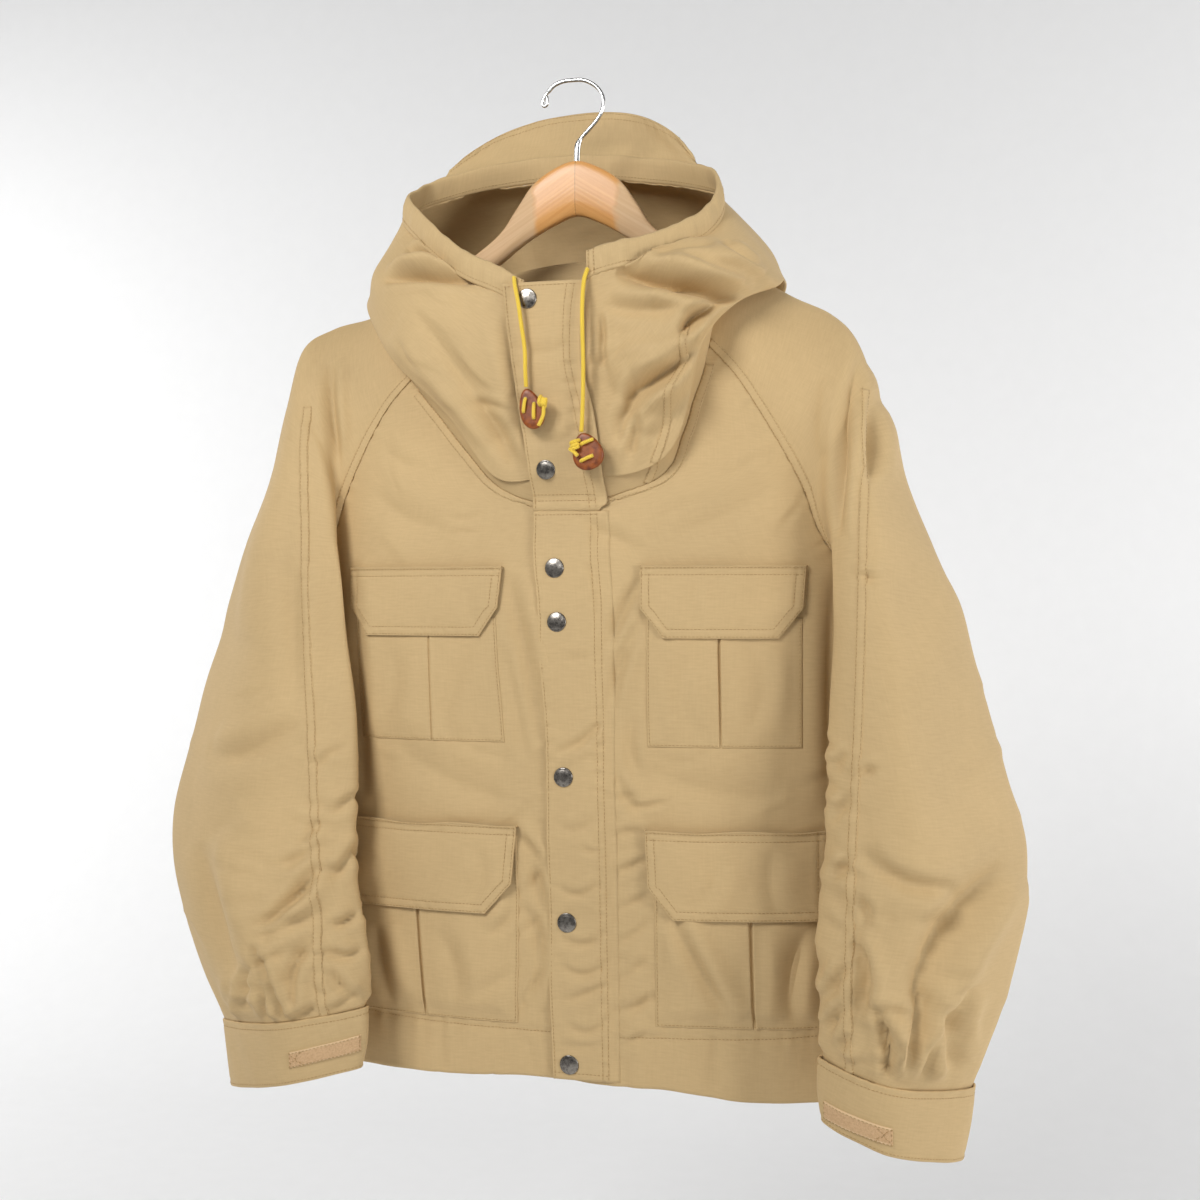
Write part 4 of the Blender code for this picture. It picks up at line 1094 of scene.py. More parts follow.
def back_panel(one, two):
    """Back grid between the two back raglan seams, then down to the hem."""
    rows = []
    cols = int(480 / GRID / 1.12)
    f = np.linspace(0, 1, cols)
    for a, b in zip(one, two):
        x = a[0] + (b[0] - a[0]) * f
        rise = 14.0 * np.sin(np.pi * f) * ease(a[2], -290.0, -150.0)
        z = a[2] + (b[2] - a[2]) * f + rise
        y = body_y(x, z, 2)
        y[0] = a[1]
        y[-1] = b[1]
        rows.append(np.stack([x, y, z], -1))
    count = int((-ARMPIT_Z + HEM_Z["side_r"]) / -GRID / 1.12)
    g = np.linspace(0, 1, 600)
    x = BODY_CX - BODY_A * np.cos(np.pi * g)
    for k in range(1, count + 1):
        f = k / count
        za = ARMPIT_Z + (HEM_Z["side_r"] - ARMPIT_Z) * f
        zb = ARMPIT_Z + (HEM_Z["side_l"] - ARMPIT_Z) * f
        z = za + (zb - za) * g
        line = np.stack([x, body_y(x, z, 2), z], -1)
        along = run_of(line)
        rows.append(read_at(np.linspace(0, along[-1], cols), along, line))
    return np.array(rows)


seam_count = int(330 / GRID / 1.12)
back_seams = []
for name in ("right", "left"):
    edge = sleeves[name]["base"][sleeves[name]["armhole"], -1]
    where, _ = even_places(edge, seam_count)
    back_seams.append(spline(edge, where))
back_base = back_panel(*back_seams)
normals = grid_normals(back_base, -1)
x = back_base[..., 0]
z = back_base[..., 2]
height = crease_height(x, z, BACK_CREASES
                       + scattered(221, 16, (-190, 200, -740, -560), 70, 1.3)
                       + scattered(222, 10, (-170, 180, -420, -240), 10, 1.0))
height += 1.2 * drift(x, z, 41, 160, 420)
height += 1.3 * drift(x, z, 42, 70, 500) * ease(-z, 640, 780)
for line, seed in ((back_seams[0], 43), (back_seams[1], 44)):
    height += pucker_height(x, z, line[:, (0, 2)], seed, 0.55, 8.0)
casing = z - CASING_Z - CASING_BOW * (x - BODY_CX) ** 2 + 4.0
height -= 0.9 * bell(casing / 2.2)
height += 0.6 * bell(casing / 11) * uneven(x, 45, 7, 19)
back_grid = back_base + normals * height[..., None]
back_grid[..., 2] += 1.4 * uneven(x, 46, 60, 190) * ease(-z, 700, 785)
back_normals = grid_normals(back_grid, -1)
back_tree = surface(back_grid)

SEAM_INSET = 3.6
STITCH_OFF = 0.15


def beside(grid, edge, within, inset=SEAM_INSET):
    """Line a little inside one column of a grid, towards another column."""
    return grid[:, edge] + unit(grid[:, within] - grid[:, edge]) * inset


# the felled seams of fronts, sleeves and back, with their two rows of stitches
stitch_rows = {"fronts": [], "back": [], "sleeve_right": [], "sleeve_left": []}
for name, side in (("right", -1), ("left", 1)):
    front = fronts[name]
    sleeve = sleeves[name]
    sleeve_tree = surface(sleeve["grid"])
    armhole = sleeve["grid"][sleeve["armhole"]]
    # the raglan seams before and behind, folded on to the sleeve, and the seam down its front
    points = np.array(sleeve["path"], float)
    smooth = spline(points, np.linspace(0, len(points) - 1, 120))
    seams = [felled(sleeve_tree, beside(armhole, 0, 2), (0, -1, 0), 51 + side),
             felled(sleeve_tree, beside(armhole, -1, -3), (0, 1, 0), 54 + side),
             felled(sleeve_tree, seen_on(sleeve_tree, smooth), (0, -1, 0), 57 + side, wide=7.6)]
    parts = [(sleeve["grid"], cloth_uv(sleeve["base"]), False, side)]
    made = add_mesh("cloth_sleeve_" + name, parts + [strip for strip, _ in seams], cloth)
    for _, rows in seams:
        stitch_rows["sleeve_" + name] += rows
    finish_cloth(made, "sleeve_" + name)
    # front with its turned hem; the side seam is felled over it, and the hood round the cowl
    grid = turned_hem(front["grid"], front["normals"])
    side_edge = front["grid"][front["places"] > 8.6]
    neck_edge = front["grid"][front["places"] <= 5.0]
    seams = [felled(front_tree, beside(side_edge, -1, -3), (side, -0.4, 0), 60 + side),
             felled(front_tree, beside(neck_edge, 0, 3, 3.8)[8:], (0, -1, 0), 84)]
    parts = [(grid, cloth_uv(grid), False, side)]
    made = add_mesh("cloth_front_" + name, parts + [strip for strip, _ in seams], cloth)
    for _, rows in seams:
        stitch_rows["fronts"] += rows
    finish_cloth(made, "front_" + name)
grid = turned_hem(back_grid, back_normals)
made = add_mesh("cloth_back", [(grid, cloth_uv(grid), False, -1)], cloth)
finish_cloth(made, "back")

# hem casing stitches, all round
for panel, panel_tree, face, x0, extra in (("fronts", front_tree, -1.0, -214.0, 0.0),
                                           ("back", back_tree, 1.0, -216.0, -4.0)):
    xs = np.arange(x0, 226.0, 2.0)
    zs = CASING_Z + extra + CASING_BOW * (xs - BODY_CX) ** 2 + 0.4 * uneven(xs, 24, 60, 190)
    row = seen_on(panel_tree, np.stack([xs, zs], -1), face)
    row[:, 1] += face * STITCH_OFF
    stitch_rows[panel].append(row)

# ------------------------------------------------------------ cuffs
# Straight cuffs of doubled cloth, topstitched along both edges, sewn over the gathered sleeve
# ends, with a strip of woven loop tape to close them.
CUFF_R = [
    # u x y, v x y, e x y, m x y, o x y, k x y, z of e, z of o
    (-188, -58, -158, -80, -138, -108, -206, -120, -280, -62, -226, -32, -729, -757),
    (-190, -60, -160, -82, -138, -108, -204, -118, -275, -66, -224, -36, -752, -782),
    (-192, -62, -162, -84, -143, -108, -204, -116, -269, -70, -224, -42, -774, -807),
]
CUFF_L = [
    # u x y, v x y, e x y, m x y, o x y, k x y, z of e, z of o
    (244, -60, 226, -82, 210, -107, 262, -124, 314, -60, 276, -26, -741, -766),
    (244, -62, 226, -84, 209, -106, 260, -122, 311, -62, 274, -32, -763, -792),
    (244, -66, 228, -86, 212, -106, 260, -118, 306, -66, 272, -40, -785, -816),
]
# Nylon loop tape: a fuzzy pile of fine loops about 1 mm apart, pinker than the cloth, between
# two paler woven edges.
tape_mat, tree, shader = new_material("woven loop tape")
lie = node(tree, "ShaderNodeUVMap", {"uv_map": "UVMap"})
loops = node(tree, "ShaderNodeTexVoronoi", {"Vector": lie, "Scale": 0.95, "Randomness": 0.9})
fuzz = noise(tree, lie, 0.7, 6.0, 0.75)
pile = combined(tree, "MULTIPLY_ADD", loops, -0.5, fuzz)
tone = ramp(tree, pile, 0.05, "#BD9A71", 0.45, "#CFAC84")
rough = bump(tree, pile, 0.6, 0.0004)
across = node(tree, "ShaderNodeSeparateXYZ", {0: lie})
middle = combined(tree, "SUBTRACT", across.outputs["Y"], 6.3)
woven = ranged(tree, combined(tree, "ABSOLUTE", middle), 0.0, 1.0, 4.7, 5.1)
wire_up(tree, shader, {"Base Color": blended(tree, woven, tone, "#D9BC94"),
                       "Normal": rough, "Roughness": 0.95, "Sheen Weight": 0.3,
                       "Sheen Tint": linear("#E8CFB0")})
TAPE = {
    # from x, top z there, to x, top z there, height of the tape
    "right": (-194, -762, -139, -747, 12.5),
    "left": (213, -768, 262, -780, 13.0),
}


CUFF_DEEP = 50.0
CUFF_ROWS = 22
CUFF_COLS = 110
CUFF_WALL = 2.0
CUFF_ROLL = 0.8
CUFF_GROOVE = 4.0


def rounded_wall(outer, normals):
    """Closed doubled cloth: outer face, rounded lower and upper edges, inner face."""
    top = unit(outer[1] - outer[0])
    low = unit(outer[-2] - outer[-1])
    inner = outer - normals * CUFF_WALL
    mid = outer - normals * 0.5 * CUFF_WALL
    return np.array([
        mid[0] - top * 0.1, outer[0] - normals[0] * 0.15 * CUFF_WALL + top * 0.15,
        outer[0] + top * CUFF_ROLL, *outer[1:-1], outer[-1] + low * CUFF_ROLL,
        outer[-1] - normals[-1] * 0.15 * CUFF_WALL + low * 0.15, mid[-1] - low * 0.1,
        inner[-1] + normals[-1] * 0.15 * CUFF_WALL + low * 0.15, inner[-1] + low * CUFF_ROLL,
        *inner[1:-1][::-1], inner[0] + top * CUFF_ROLL,
        inner[0] + normals[0] * 0.15 * CUFF_WALL + top * 0.15, mid[0] - top * 0.1])


for name, table, side in (("right", CUFF_R, -1), ("left", CUFF_L, 1)):
    coarse = np.array([ring_row(row) for row in table])
    coarse[0, :, 2] += 1.5
    places, around = even_places(coarse.transpose(1, 0, 2), CUFF_COLS)
    down = spline(coarse, np.linspace(0, 2, CUFF_ROWS))
    base = spline(down.transpose(1, 0, 2), places).transpose(1, 0, 2)
    normals = grid_normals(base, side)
    normals[:, 0] = normals[:, -1] = unit(normals[:, 0] + normals[:, -1])
    s, d = np.meshgrid(np.linspace(0, around, CUFF_COLS), np.linspace(0, CUFF_DEEP, CUFF_ROWS))
    height = 1.0 + 0.5 * uneven(s + 0.4 * d, 71, 24, 60)
    height += 0.45 * bell(d / 7) * uneven(s, 72, 5, 12)
    height -= 0.5 * bell((d - CUFF_GROOVE) / 1.6) \
        + 0.4 * bell((d - CUFF_DEEP + CUFF_GROOVE) / 1.6)
    height[:, -1] = height[:, 0]
    outer = base + normals * height[..., None]
    walls = rounded_wall(outer, grid_normals(outer, side))
    made = facing_out(add_mesh("cloth_cuff_" + name, [(walls, cloth_uv(walls), False, side)],
                               cloth))
    cuff_tree = surface(outer)
    rows = [outer[k] + normals[k] * STITCH_OFF for k in (2, 20)]
    # tape: a strip laid on the cuff, a little raised, with a rounded edge
    xa, za, xb, zb, tall = TAPE[name]
    u = np.concatenate([[0, 0.006, 0.02], np.linspace(0.04, 0.96, 26), [0.98, 0.994, 1]])
    v = np.concatenate([[0, 0.03, 0.08], np.linspace(0.14, 0.86, 9), [0.92, 0.97, 1]])
    uu, vv = np.meshgrid(u, v)
    flat = np.stack([xa + (xb - xa) * uu, za + (zb - za) * uu - tall * vv], -1)
    spots = seen_on(cuff_tree, flat.reshape(-1, 2)).reshape(uu.shape + (3,))
    rim = np.minimum(np.minimum(uu, 1 - uu) * abs(xb - xa), np.minimum(vv, 1 - vv) * tall)
    lift = 0.25 + 1.0 * ease(rim, 0.0, 0.9)
    lift[rim < 0.001] = -0.4
    strip = spots + grid_normals(spots, 1) * lift[..., None]
    tape = add_mesh("loop_tape_" + name,
                    [(strip, np.stack([uu * abs(xb - xa), vv * tall], -1), False, 1)],
                    tape_mat)
    thicken(tape, 0.4)
    fix(tape, "hook_loop_tape", "cuff_tape_" + name)
    rows += [line + (0, -0.2, 0) for line in (strip[2, 2:-2], strip[-3, 2:-2],
                                              strip[2:-2, 2], strip[2:-2, -3])]
    # a crossed box of stitches holds the tape's outer end
    corner = strip[2:-2, -9:-2] if side > 0 else strip[2:-2, 2:9]
    a, b = [np.linspace(0, n - 1, 9).astype(int) for n in corner.shape[:2]]
    rows += [corner[a, b] + (0, -0.25, 0), corner[a, b[::-1]] + (0, -0.25, 0)]
    sewn = sew("stitches_cuff_" + name, rows)
    finish_cloth(made, "cuff_" + name, thick=0)

for name, rows in stitch_rows.items():
    sew("stitches_" + name, rows)

# ------------------------------------------------------------ hood
# A deep hood, sewn round the neck by a felled seam. It hangs empty: in front it falls as a cowl
# over the chest, at the sides it folds over the shoulders, and behind it is a bag.
HOOD = [
    # at, fold x y z, puff x y z, rim x y z
    (0.0, 4, -82, -320, -2, -91, -250, -12, -99, -178),
    (0.6, -40, -83, -322, -40, -94, -246, -33, -96, -165),
    (1.2, -78, -86, -274, -76, -98, -214, -58, -88, -153),
    (1.8, -126, -78, -230, -112, -90, -190, -80, -76, -138),
    (2.4, -152, -56, -198, -146, -66, -162, -108, -56, -114),
    (3.0, -168, -28, -176, -160, -28, -146, -133, -28, -90),
    (3.4, -170, 4, -168, -160, 8, -138, -133, -6, -78),
    (3.9, -160, 40, -180, -152, 44, -130, -126, 16, -66),
    (4.4, -112, 84, -262, -112, 84, -120, -84, 40, -50),
    (5.0, 0, 92, -304, 0, 98, -118, -15, 50, -44),
    (5.6, 106, 84, -262, 104, 84, -120, 56, 40, -55),
    (6.1, 156, 42, -180, 146, 44, -134, 98, 14, -70),
    (6.6, 166, 4, -168, 152, 8, -142, 114, -8, -82),
    (7.0, 164, -24, -178, 150, -28, -148, 119, -28, -102),
    (7.6, 142, -64, -196, 132, -66, -160, 112, -50, -122),
    (8.2, 120, -82, -226, 112, -88, -180, 95, -72, -137),
    (8.8, 103, -84, -292, 84, -96, -204, 76, -84, -146),
    (9.4, 74, -84, -318, 56, -94, -232, 56, -93, -151),
    (10.0, 20, -82, -322, 26, -91, -240, 36, -99, -158),
]
BAND_DROP = 20.0
HOOD_CREASES = [
    # from x z, through x z, to x z, width, height
    (-136, -166, -100, -167, -50, -175, 6.5, -8),
    (-122, -140, -96, -149, -62, -165, 5, -7),
    (-129, -154, -110, -159, -88, -164, 6, 4),
    (-126, -209, -84, -249, -44, -297, 18, 4),
    (-53, -262, -35, -293, -17, -327, 9, -3.5),
    (-103, -195, -69, -238, -29, -298, 15, -3.2),
    (-50, -182, -41, -219, -25, -263, 14, 2.6),
    (-27, -204, -18, -262, -9, -310, 7, -3.2),
    (58, -174, 95, -183, 142, -192, 8, -12),
    (96, -186, 124, -192, 152, -194, 8, -8),
    (61, -162, 110, -163, 153, -176, 9, 6),
    (84, -170, 104, -160, 125, -158, 6, -3.5),
    (132, -199, 116, -208, 106, -224, 7, -9),
    (125, -212, 96, -227, 49, -242, 16, 5.5),
    (119, -232, 93, -250, 62, -270, 9, -8),
    (110, -253, 87, -269, 74, -292, 8, 4),
    (76, -268, 62, -281, 57, -303, 7, -4),
    (75, -277, 67, -303, 64, -328, 7, -4.5),
    (45, -203, 47, -219, 46, -242, 4, -2.5),
    (49, -197, 78, -204, 110, -200, 7, -3),
    (55, -300, 64, -320, 55, -337, 6, 3),
    (120, -170, 143, -167, 167, -186, 7, 4),
    (132, -146, 137, -158, 151, -166, 5, -4),
]
HOOD_BACK_CREASES = [
    # from x z, through x z, to x z, width, height
    (-90, -96, -60, -150, -70, -220, 16, -4),
    (70, -100, 62, -160, 50, -230, 16, -4),
    (-20, -100, -8, -170, -20, -250, 18, 3),
    (-130, -150, -80, -190, -20, -200, 12, -3),
    (120, -150, 70, -196, 10, -212, 12, -3),
    (-60, -240, 0, -262, 60, -240, 12, -3),
]
right = fronts["right"]
left = fronts["left"]
neck_line = np.concatenate([
    right["base"][right["places"] <= 5.0, 0][::-1],
    sleeves["right"]["base"][0, 1:],
    back_base[0, 1:],
    sleeves["left"]["base"][0, -2::-1],
    left["base"][left["places"] <= 5.0, 0][1:],
])
neck_line, neck_along = evened(neck_line, GRID * 1.1)
at = 10.0 * neck_along / neck_along[-1]
table = np.array(HOOD, float)
fine = np.linspace(0, len(table) - 1, 400)
marks = spline(table[:, :1], fine)[:, 0]
stations = spline(table[:, 1:], fine)
values = read_at(at, marks, stations)
fold = values[:, 0:3]
puff = values[:, 3:6]
rim_line = values[:, 6:9]
flare = 0.5 + 4.5 * np.minimum(1.0, np.abs(rim_line[:, 0]) / 100.0)
seam = rim_line - (0, 0, BAND_DROP)
seam[:, :2] += unit(rim_line[:, :2] - (0.0, -25.0)) * flare[:, None]
bag = np.clip((fold[:, 1] - 40.0) / 40.0, 0.0, 1.0)
mix = np.stack([0 * bag + 0.5, 0 * bag + 0.5, 0.5 + 0.28 * bag], -1)
under = neck_line + (fold - neck_line) * mix
under[:, 1] += -2.0 + 6.0 * bag
under[:, 2] += 6.0
coarse = np.array([neck_line, under, fold,
                   0.55 * fold + 0.45 * puff + 0.06 * (puff - seam), puff,
                   0.45 * puff + 0.55 * seam + 0.08 * (puff - fold), seam])
rows_at, hood_length = even_places(coarse, int(330 / GRID))
base = spline(coarse, rows_at)
normals = grid_normals(base, 1)
x, y, z = np.moveaxis(base, -1, 0)
outer = np.broadcast_to(ease(rows_at, 2.0, 2.7)[:, None], x.shape)
facing = ease(-y, -5.0, 25.0)
height = outer * facing * crease_height(x, z, HOOD_CREASES
                                        + scattered(231, 10, (-140, -30, -300, -170), -32, 1.4)
                                        + scattered(232, 12, (45, 140, -310, -170), 40, 1.6))
height += outer * ease(y, 20.0, 50.0) * crease_height(x, z, HOOD_BACK_CREASES)
height += 1.2 * outer * drift(x, z + y, 81, 110, 130)
seam_away = np.abs(6.0 - np.broadcast_to(rows_at[:, None], x.shape)) * hood_length / 9
height += 0.5 * bell(seam_away / 9) * uneven(
    np.broadcast_to(neck_along[None, :], x.shape), 82, 6, 15)
hood_grid = base + normals * height[..., None]
hood_tree = surface(hood_grid)
NECK_FELL = [
    # x, z: the second felled seam, on the wearer's left of the cowl
    (109, -216), (107, -240), (98, -268), (91, -298), (78, -326), (66, -342),
]
path = spline(np.array(NECK_FELL, float), np.linspace(0, 5, 60))
strip, hood_rows = felled(hood_tree, seen_on(hood_tree, path), (0, -1, 0), 83, wide=6.5)
made = add_mesh("cloth_hood", [(hood_grid, cloth_uv(hood_grid), False, 1), strip], cloth)

# tunnel band: cloth doubled over the drawcord all along the hood's edge
BAND_PROFILE = [
    # down from the rim (share of the drop), out
    (1.04, 0.2), (1.03, 0.9), (0.95, 1.5), (0.86, 1.3), (0.7, 2.3), (0.45, 3.0), (0.2, 2.5),
    (0.06, 1.8), (0.0, 0.6), (0.03, -0.6), (0.1, -1.2), (0.3, -1.6), (0.6, -1.5),
    (0.86, -0.9), (0.95, -1.0), (1.0, -0.6),
]
drop = seam - rim_line
out = unit(np.cross(np.gradient(rim_line, axis=0), drop))
if out[len(out) // 2, 1] < 0:
    out = -out
ripple = uneven(neck_along, 85, 7, 18)
bulge = uneven(neck_along, 86, 18, 50)
band = []
for share, away in BAND_PROFILE:
    lift = away + (0.45 * ripple + 0.5 * bulge) * (1 if away > 0 else -0.6) \
        * np.sin(np.pi * min(share, 1.0)) ** 0.5
    band.append(rim_line + drop * share + out * lift[:, None]
                + np.outer(0.5 * bulge * (1 - share), (0, 0, 1)))
rings = np.array(band).transpose(1, 0, 2)
band_piece = ring_piece("cloth_hood_band", rings, neck_along, cloth)
hood_rows += [rings[:, 3] + out * 0.2, rings[:, 13] - out * 0.2]
for station in (1, -2, 4, -5):
    hood_rows.append(rings[station, 2:8] + out[station] * 0.3)
sewn = sew("stitches_hood", hood_rows)
finish_cloth(made, "hood")
finish_cloth(band_piece, "hood_band", thick=0)

# ------------------------------------------------------------ brim
# A stiffened crescent of doubled cloth on the back of the hood's edge, turned up, topstitched
# in two rows along its curve.
BRIM = [
    # at, tip x y z
    (3.95, -122, 34, -54),
    (4.1, -108, 44, -38),
    (4.3, -84, 58, -20),
    (4.6, -56, 67, -9),
    (4.85, -28, 71, -4.5),
    (5.1, -2, 71, -4),
    (5.35, 24, 67, -8),
    (5.6, 46, 59, -17),
    (5.85, 68, 45, -33),
    (6.05, 84, 33, -52),
]
BRIM_COLS = 130
BRIM_HALF = 1.2
places, brim_length = even_places(np.array(BRIM)[:, 1:], BRIM_COLS)
tips = spline(BRIM, places)
rim = read_at(tips[:, 0], at, rim_line)
root = rim + unit(np.stack([rim[:, 0] * 0.35, 0 * rim[:, 0] + 60, 0 * rim[:, 0]], -1)) * 3.2
root[:, 2] -= 3.0
tip = tips[:, 1:]
middle = 0.5 * (root + tip) + (0.0, 3.0, 0.0)
coarse = np.array([root, middle, tip])
shares = np.concatenate([np.linspace(0, 1.7, 14), np.linspace(1.74, 2.0, 7)])
base = spline(coarse, shares)
normals = grid_normals(base, 1)
s, t = np.meshgrid(np.linspace(0, brim_length, BRIM_COLS), shares)
height = 0.4 * uneven(s, 91, 8, 20) * ease(t, 1.2, 1.8) * (1 - ease(t, 1.85, 2.0))
height += 0.8 * uneven(s + 30 * t, 92, 50, 120)
front_face = base + normals * (BRIM_HALF + height[..., None])
back_face = base - normals * (BRIM_HALF - height[..., None])
walls = np.concatenate([front_face[:-1], (front_face[-1:] + base[-1:]) / 2,
                        base[-1:] + unit(tip - middle)[None] * 0.6,
                        (back_face[-1:] + base[-1:]) / 2, back_face[:-1][::-1]])
brim = ring_piece("cloth_brim", walls.transpose(1, 0, 2),
                  np.linspace(0, brim_length, BRIM_COLS), cloth)
rows = []
for face, sign in ((front_face, 1), (back_face, -1)):
    face_tree = surface(face)
    for away in (1.6, 6.6):
        line = tip + unit(middle - tip) * away
        spots, turned_out = laid(face_tree, line[3:-3], normals[-1][3:-3] * sign)
        rows.append(spots + turned_out * FELL_STITCH)
sewn = sew("stitches_brim", rows)
finish_cloth(brim, "brim", thick=0)

# ------------------------------------------------------------ storm flap
# A doubled strip of cloth over the zip, its left edge free and topstitched, its right side
# sewn down in two rows. The hood's part and the front's part meet at the neck seam.
PLACKET_TOP = [
    # z, free x, stitched x, y
    (-180, -28, 30, -102.6),
    (-205, -26, 26, -101.6),
    (-240, -22, 25, -98.2),
    (-275, -18, 32, -93.8),
    (-305, -14, 36, -90),
    (-330, -12, 38, -86.6),
    (-349, -11, 40, -82.8),
]
PLACKET = [
    # z, free x, stitched x, y is on the front
    (-349, -11, 40, 0),
    (-385, -11, 41, 0),
    (-420, -7, 44, 0),
    (-463, -5, 45, 0),
    (-510, -1, 46, 0),
    (-555, 0, 46, 0),
    (-605, 0, 47, 0),
    (-655, 1, 47, 0),
    (-707, 0, 47, 0),
    (-745, 1, 47, 0),
    (-781, 2, 47, 0),
]
PLACKET_CREASES = [
    # from x z, through x z, to x z, width, height
    (45, -504, 27, -523, 6, -531, 5, -2),
    (27, -389, 42, -407, 40, -435, 5, -1.4),
    (11, -458, 27, -461, 39, -454, 6, -0.7),
    (7, -584, 23, -590, 42, -575, 6, -1),
    (27, -603, 35, -606, 42, -603, 4, -1.2),
    (6, -632, 25, -639, 42, -626, 5, -1.6),
    (8, -671, 27, -677, 45, -667, 5, -1.6),
    (8, -692, 27, -700, 46, -688, 5, -1.6),
    (11, -721, 32, -713, 46, -704, 5, -1.6),
    (13, -737, 30, -744, 47, -730, 5, -1.5),
    (8, -755, 27, -755, 47, -748, 5, -1),
    (-22, -225, 4, -232, 24, -222, 7, -0.7),
    (-18, -290, 8, -298, 30, -288, 7, -0.9),
]


def depth_on(tree, x, z, otherwise):
    """Depth of a surface behind each point, or the value given where none is near."""
    flat = np.array(np.broadcast_to(otherwise, x.shape)).ravel()
    for i, (a, b) in enumerate(zip(x.ravel(), z.ravel())):
        hit = tree.ray_cast(Vector((a, -300.0, b)), Vector((0.0, 1.0, 0.0)))[0]
        if hit and hit.y < flat[i] + 12.0:
            flat[i] = hit.y
    return flat.reshape(x.shape)


def outline(rows, z):
    """Left and right edge of a patch at a height, straight between its named rows."""
    table = np.array(rows, float)[::-1]
    return np.interp(z, table[:, 0], table[:, 1]), np.interp(z, table[:, 0], table[:, 2])


def flap_base(x, z):
    """Depth of the storm flap's face before its creases."""
    rows = np.array(PLACKET_TOP, float)[::-1]
    y = np.interp(z, rows[:, 0], rows[:, 3])
    free, sewn_x = outline(PLACKET_TOP, z)
    upper = y + 0.6 * (2.0 * (x - free) / (sewn_x - free) - 1.0) ** 2
    lower = body_y(x, z, 1) - 2.6
    return upper + (lower - 1.0 * (z > -349.0) - upper) * ease(-z, 318, 346)


def turned_edges(grid, axis, before, after):
    """Grid with rows (0) or columns (1) added, each a step from its first or its last one."""
    first, last = (grid[:, :1], grid[:, -1:]) if axis else (grid[:1], grid[-1:])
    return np.concatenate([first + step for step in before] + [grid]
                          + [last + step for step in after], axis)


def stitched_on(tree, path):
    """Row of stitches along (x, z) places of a surface, seen from the front."""
    return seen_on(tree, path) + (0, -STITCH_OFF, 0)


FLAP_WIDTH = 47.0
FLAP_GROOVES = (1.6, 40.6, 45.4)
flap_grids = []
for name, table, solid, levels in (
        ("upper", PLACKET_TOP, "placket_top", (-182.5, -337.0, -341.5)),
        ("lower", PLACKET, "placket", (-352.0, -776.0))):
    top_z, foot_z = table[0][0], table[-1][0]
    tall = top_z - foot_z
    places, _ = even_places(np.array(table)[:, :3], int(tall / 2.2))
    rows = spline(table, places)
    free_x = rows[:, 1:2]
    reach = rows[:, 2:3] - free_x
    inset = np.concatenate([[0.0, 0.25, 0.8, 1.6, 2.6], np.linspace(4.5, 38.0, 16),
                            [39.5, 40.6, 41.7, 43.2, 44.6, 45.4, 46.2, 47.0, 49.0,
                             51.5, 54.0]])
    share = inset / FLAP_WIDTH
    z = np.broadcast_to(rows[:, :1], (len(rows), len(share)))
    x = free_x + reach * share[None, :]
    if name == "upper":
        x -= np.maximum(share - 1.0, 0.0) * FLAP_WIDTH * ease(-z, 343.0, 348.5)
    y = flap_base(x, z)
    away = x - free_x
    height = crease_height(x, z, PLACKET_CREASES)
    height += 0.35 * uneven(z, 101, 9, 24) * bell(away / 6)
    for groove in FLAP_GROOVES:
        dent = away - groove * reach / FLAP_WIDTH
        height -= 0.35 * bell(dent)
        height += 0.4 * bell(dent / 6) * uneven(z, 102, 6, 13)
    if name == "upper":
        height += 0.7 * bell((z + 343) / 8) * uneven(x, 103, 6, 12)
        height -= 0.5 * bell((z + 339) / 1.8)
    # the free edge stands a little off the front; the sewn edge is flush with it
    height += 0.7 * bell(away / 4.0)
    y = y - height
    # past its stitches the flap runs flush into the cloth that it is sewn to
    flush = depth_on(front_tree, x, z, y)
    if name == "upper":
        flush = np.minimum(flush, depth_on(hood_tree, x, z, y))
    flush = flush - 0.3
    # near the neck seam it is drawn down earlier, to the step of the cowl
    near = ease(-z, 290.0, 332.0) * (1 - ease(-z, 352.0, 366.0))
    blend = ease(away, 42.0 - 18.0 * near, 50.0 - 5.0 * near)
    y = y + (np.maximum(flush, y) - y) * blend
    # the free edge, the top and the foot are turned under
    grid = turned_edges(np.stack([x, y, z], -1), 1,
                        [(2.5, 2.0, 0), (0.25, 1.9, 0), (-0.35, 0.95, 0)], [])
    head = [(0, 2.0, -0.5), (0, 1.0, 0.45)] if name == "upper" else [(0, 1.2, 0), (0, 0, 0)]
    grid = turned_edges(grid, 0, head, [(0, 0.9, -0.35), (0, 1.9, 0.4)])
    flap_grids.append(grid)
    piece = add_mesh("cloth_flap_" + name, [(grid, cloth_uv(grid), False, 1)], cloth)
    flap_tree = surface(grid)
    # a dotted row along the free edge and two along the sewn side, then those across
    zs = np.arange(foot_z + 3, top_z - 2, 2.0)
    free, fixed = outline(rows, zs)
    paths = [np.stack([free + groove / FLAP_WIDTH * (fixed - free), zs], -1)
             for groove in FLAP_GROOVES]
    for level in levels:
        free, fixed = outline(rows, level)
        xs = np.arange(free + 1.6, fixed - 1.6, 1.5)
        paths.append(np.stack([xs, 0 * xs + level], -1))
    sewn = sew("stitches_flap_" + name, [stitched_on(flap_tree, path) for path in paths])
    finish_cloth(piece, solid, thick=0.5)
flap_tree = surface(*flap_grids)

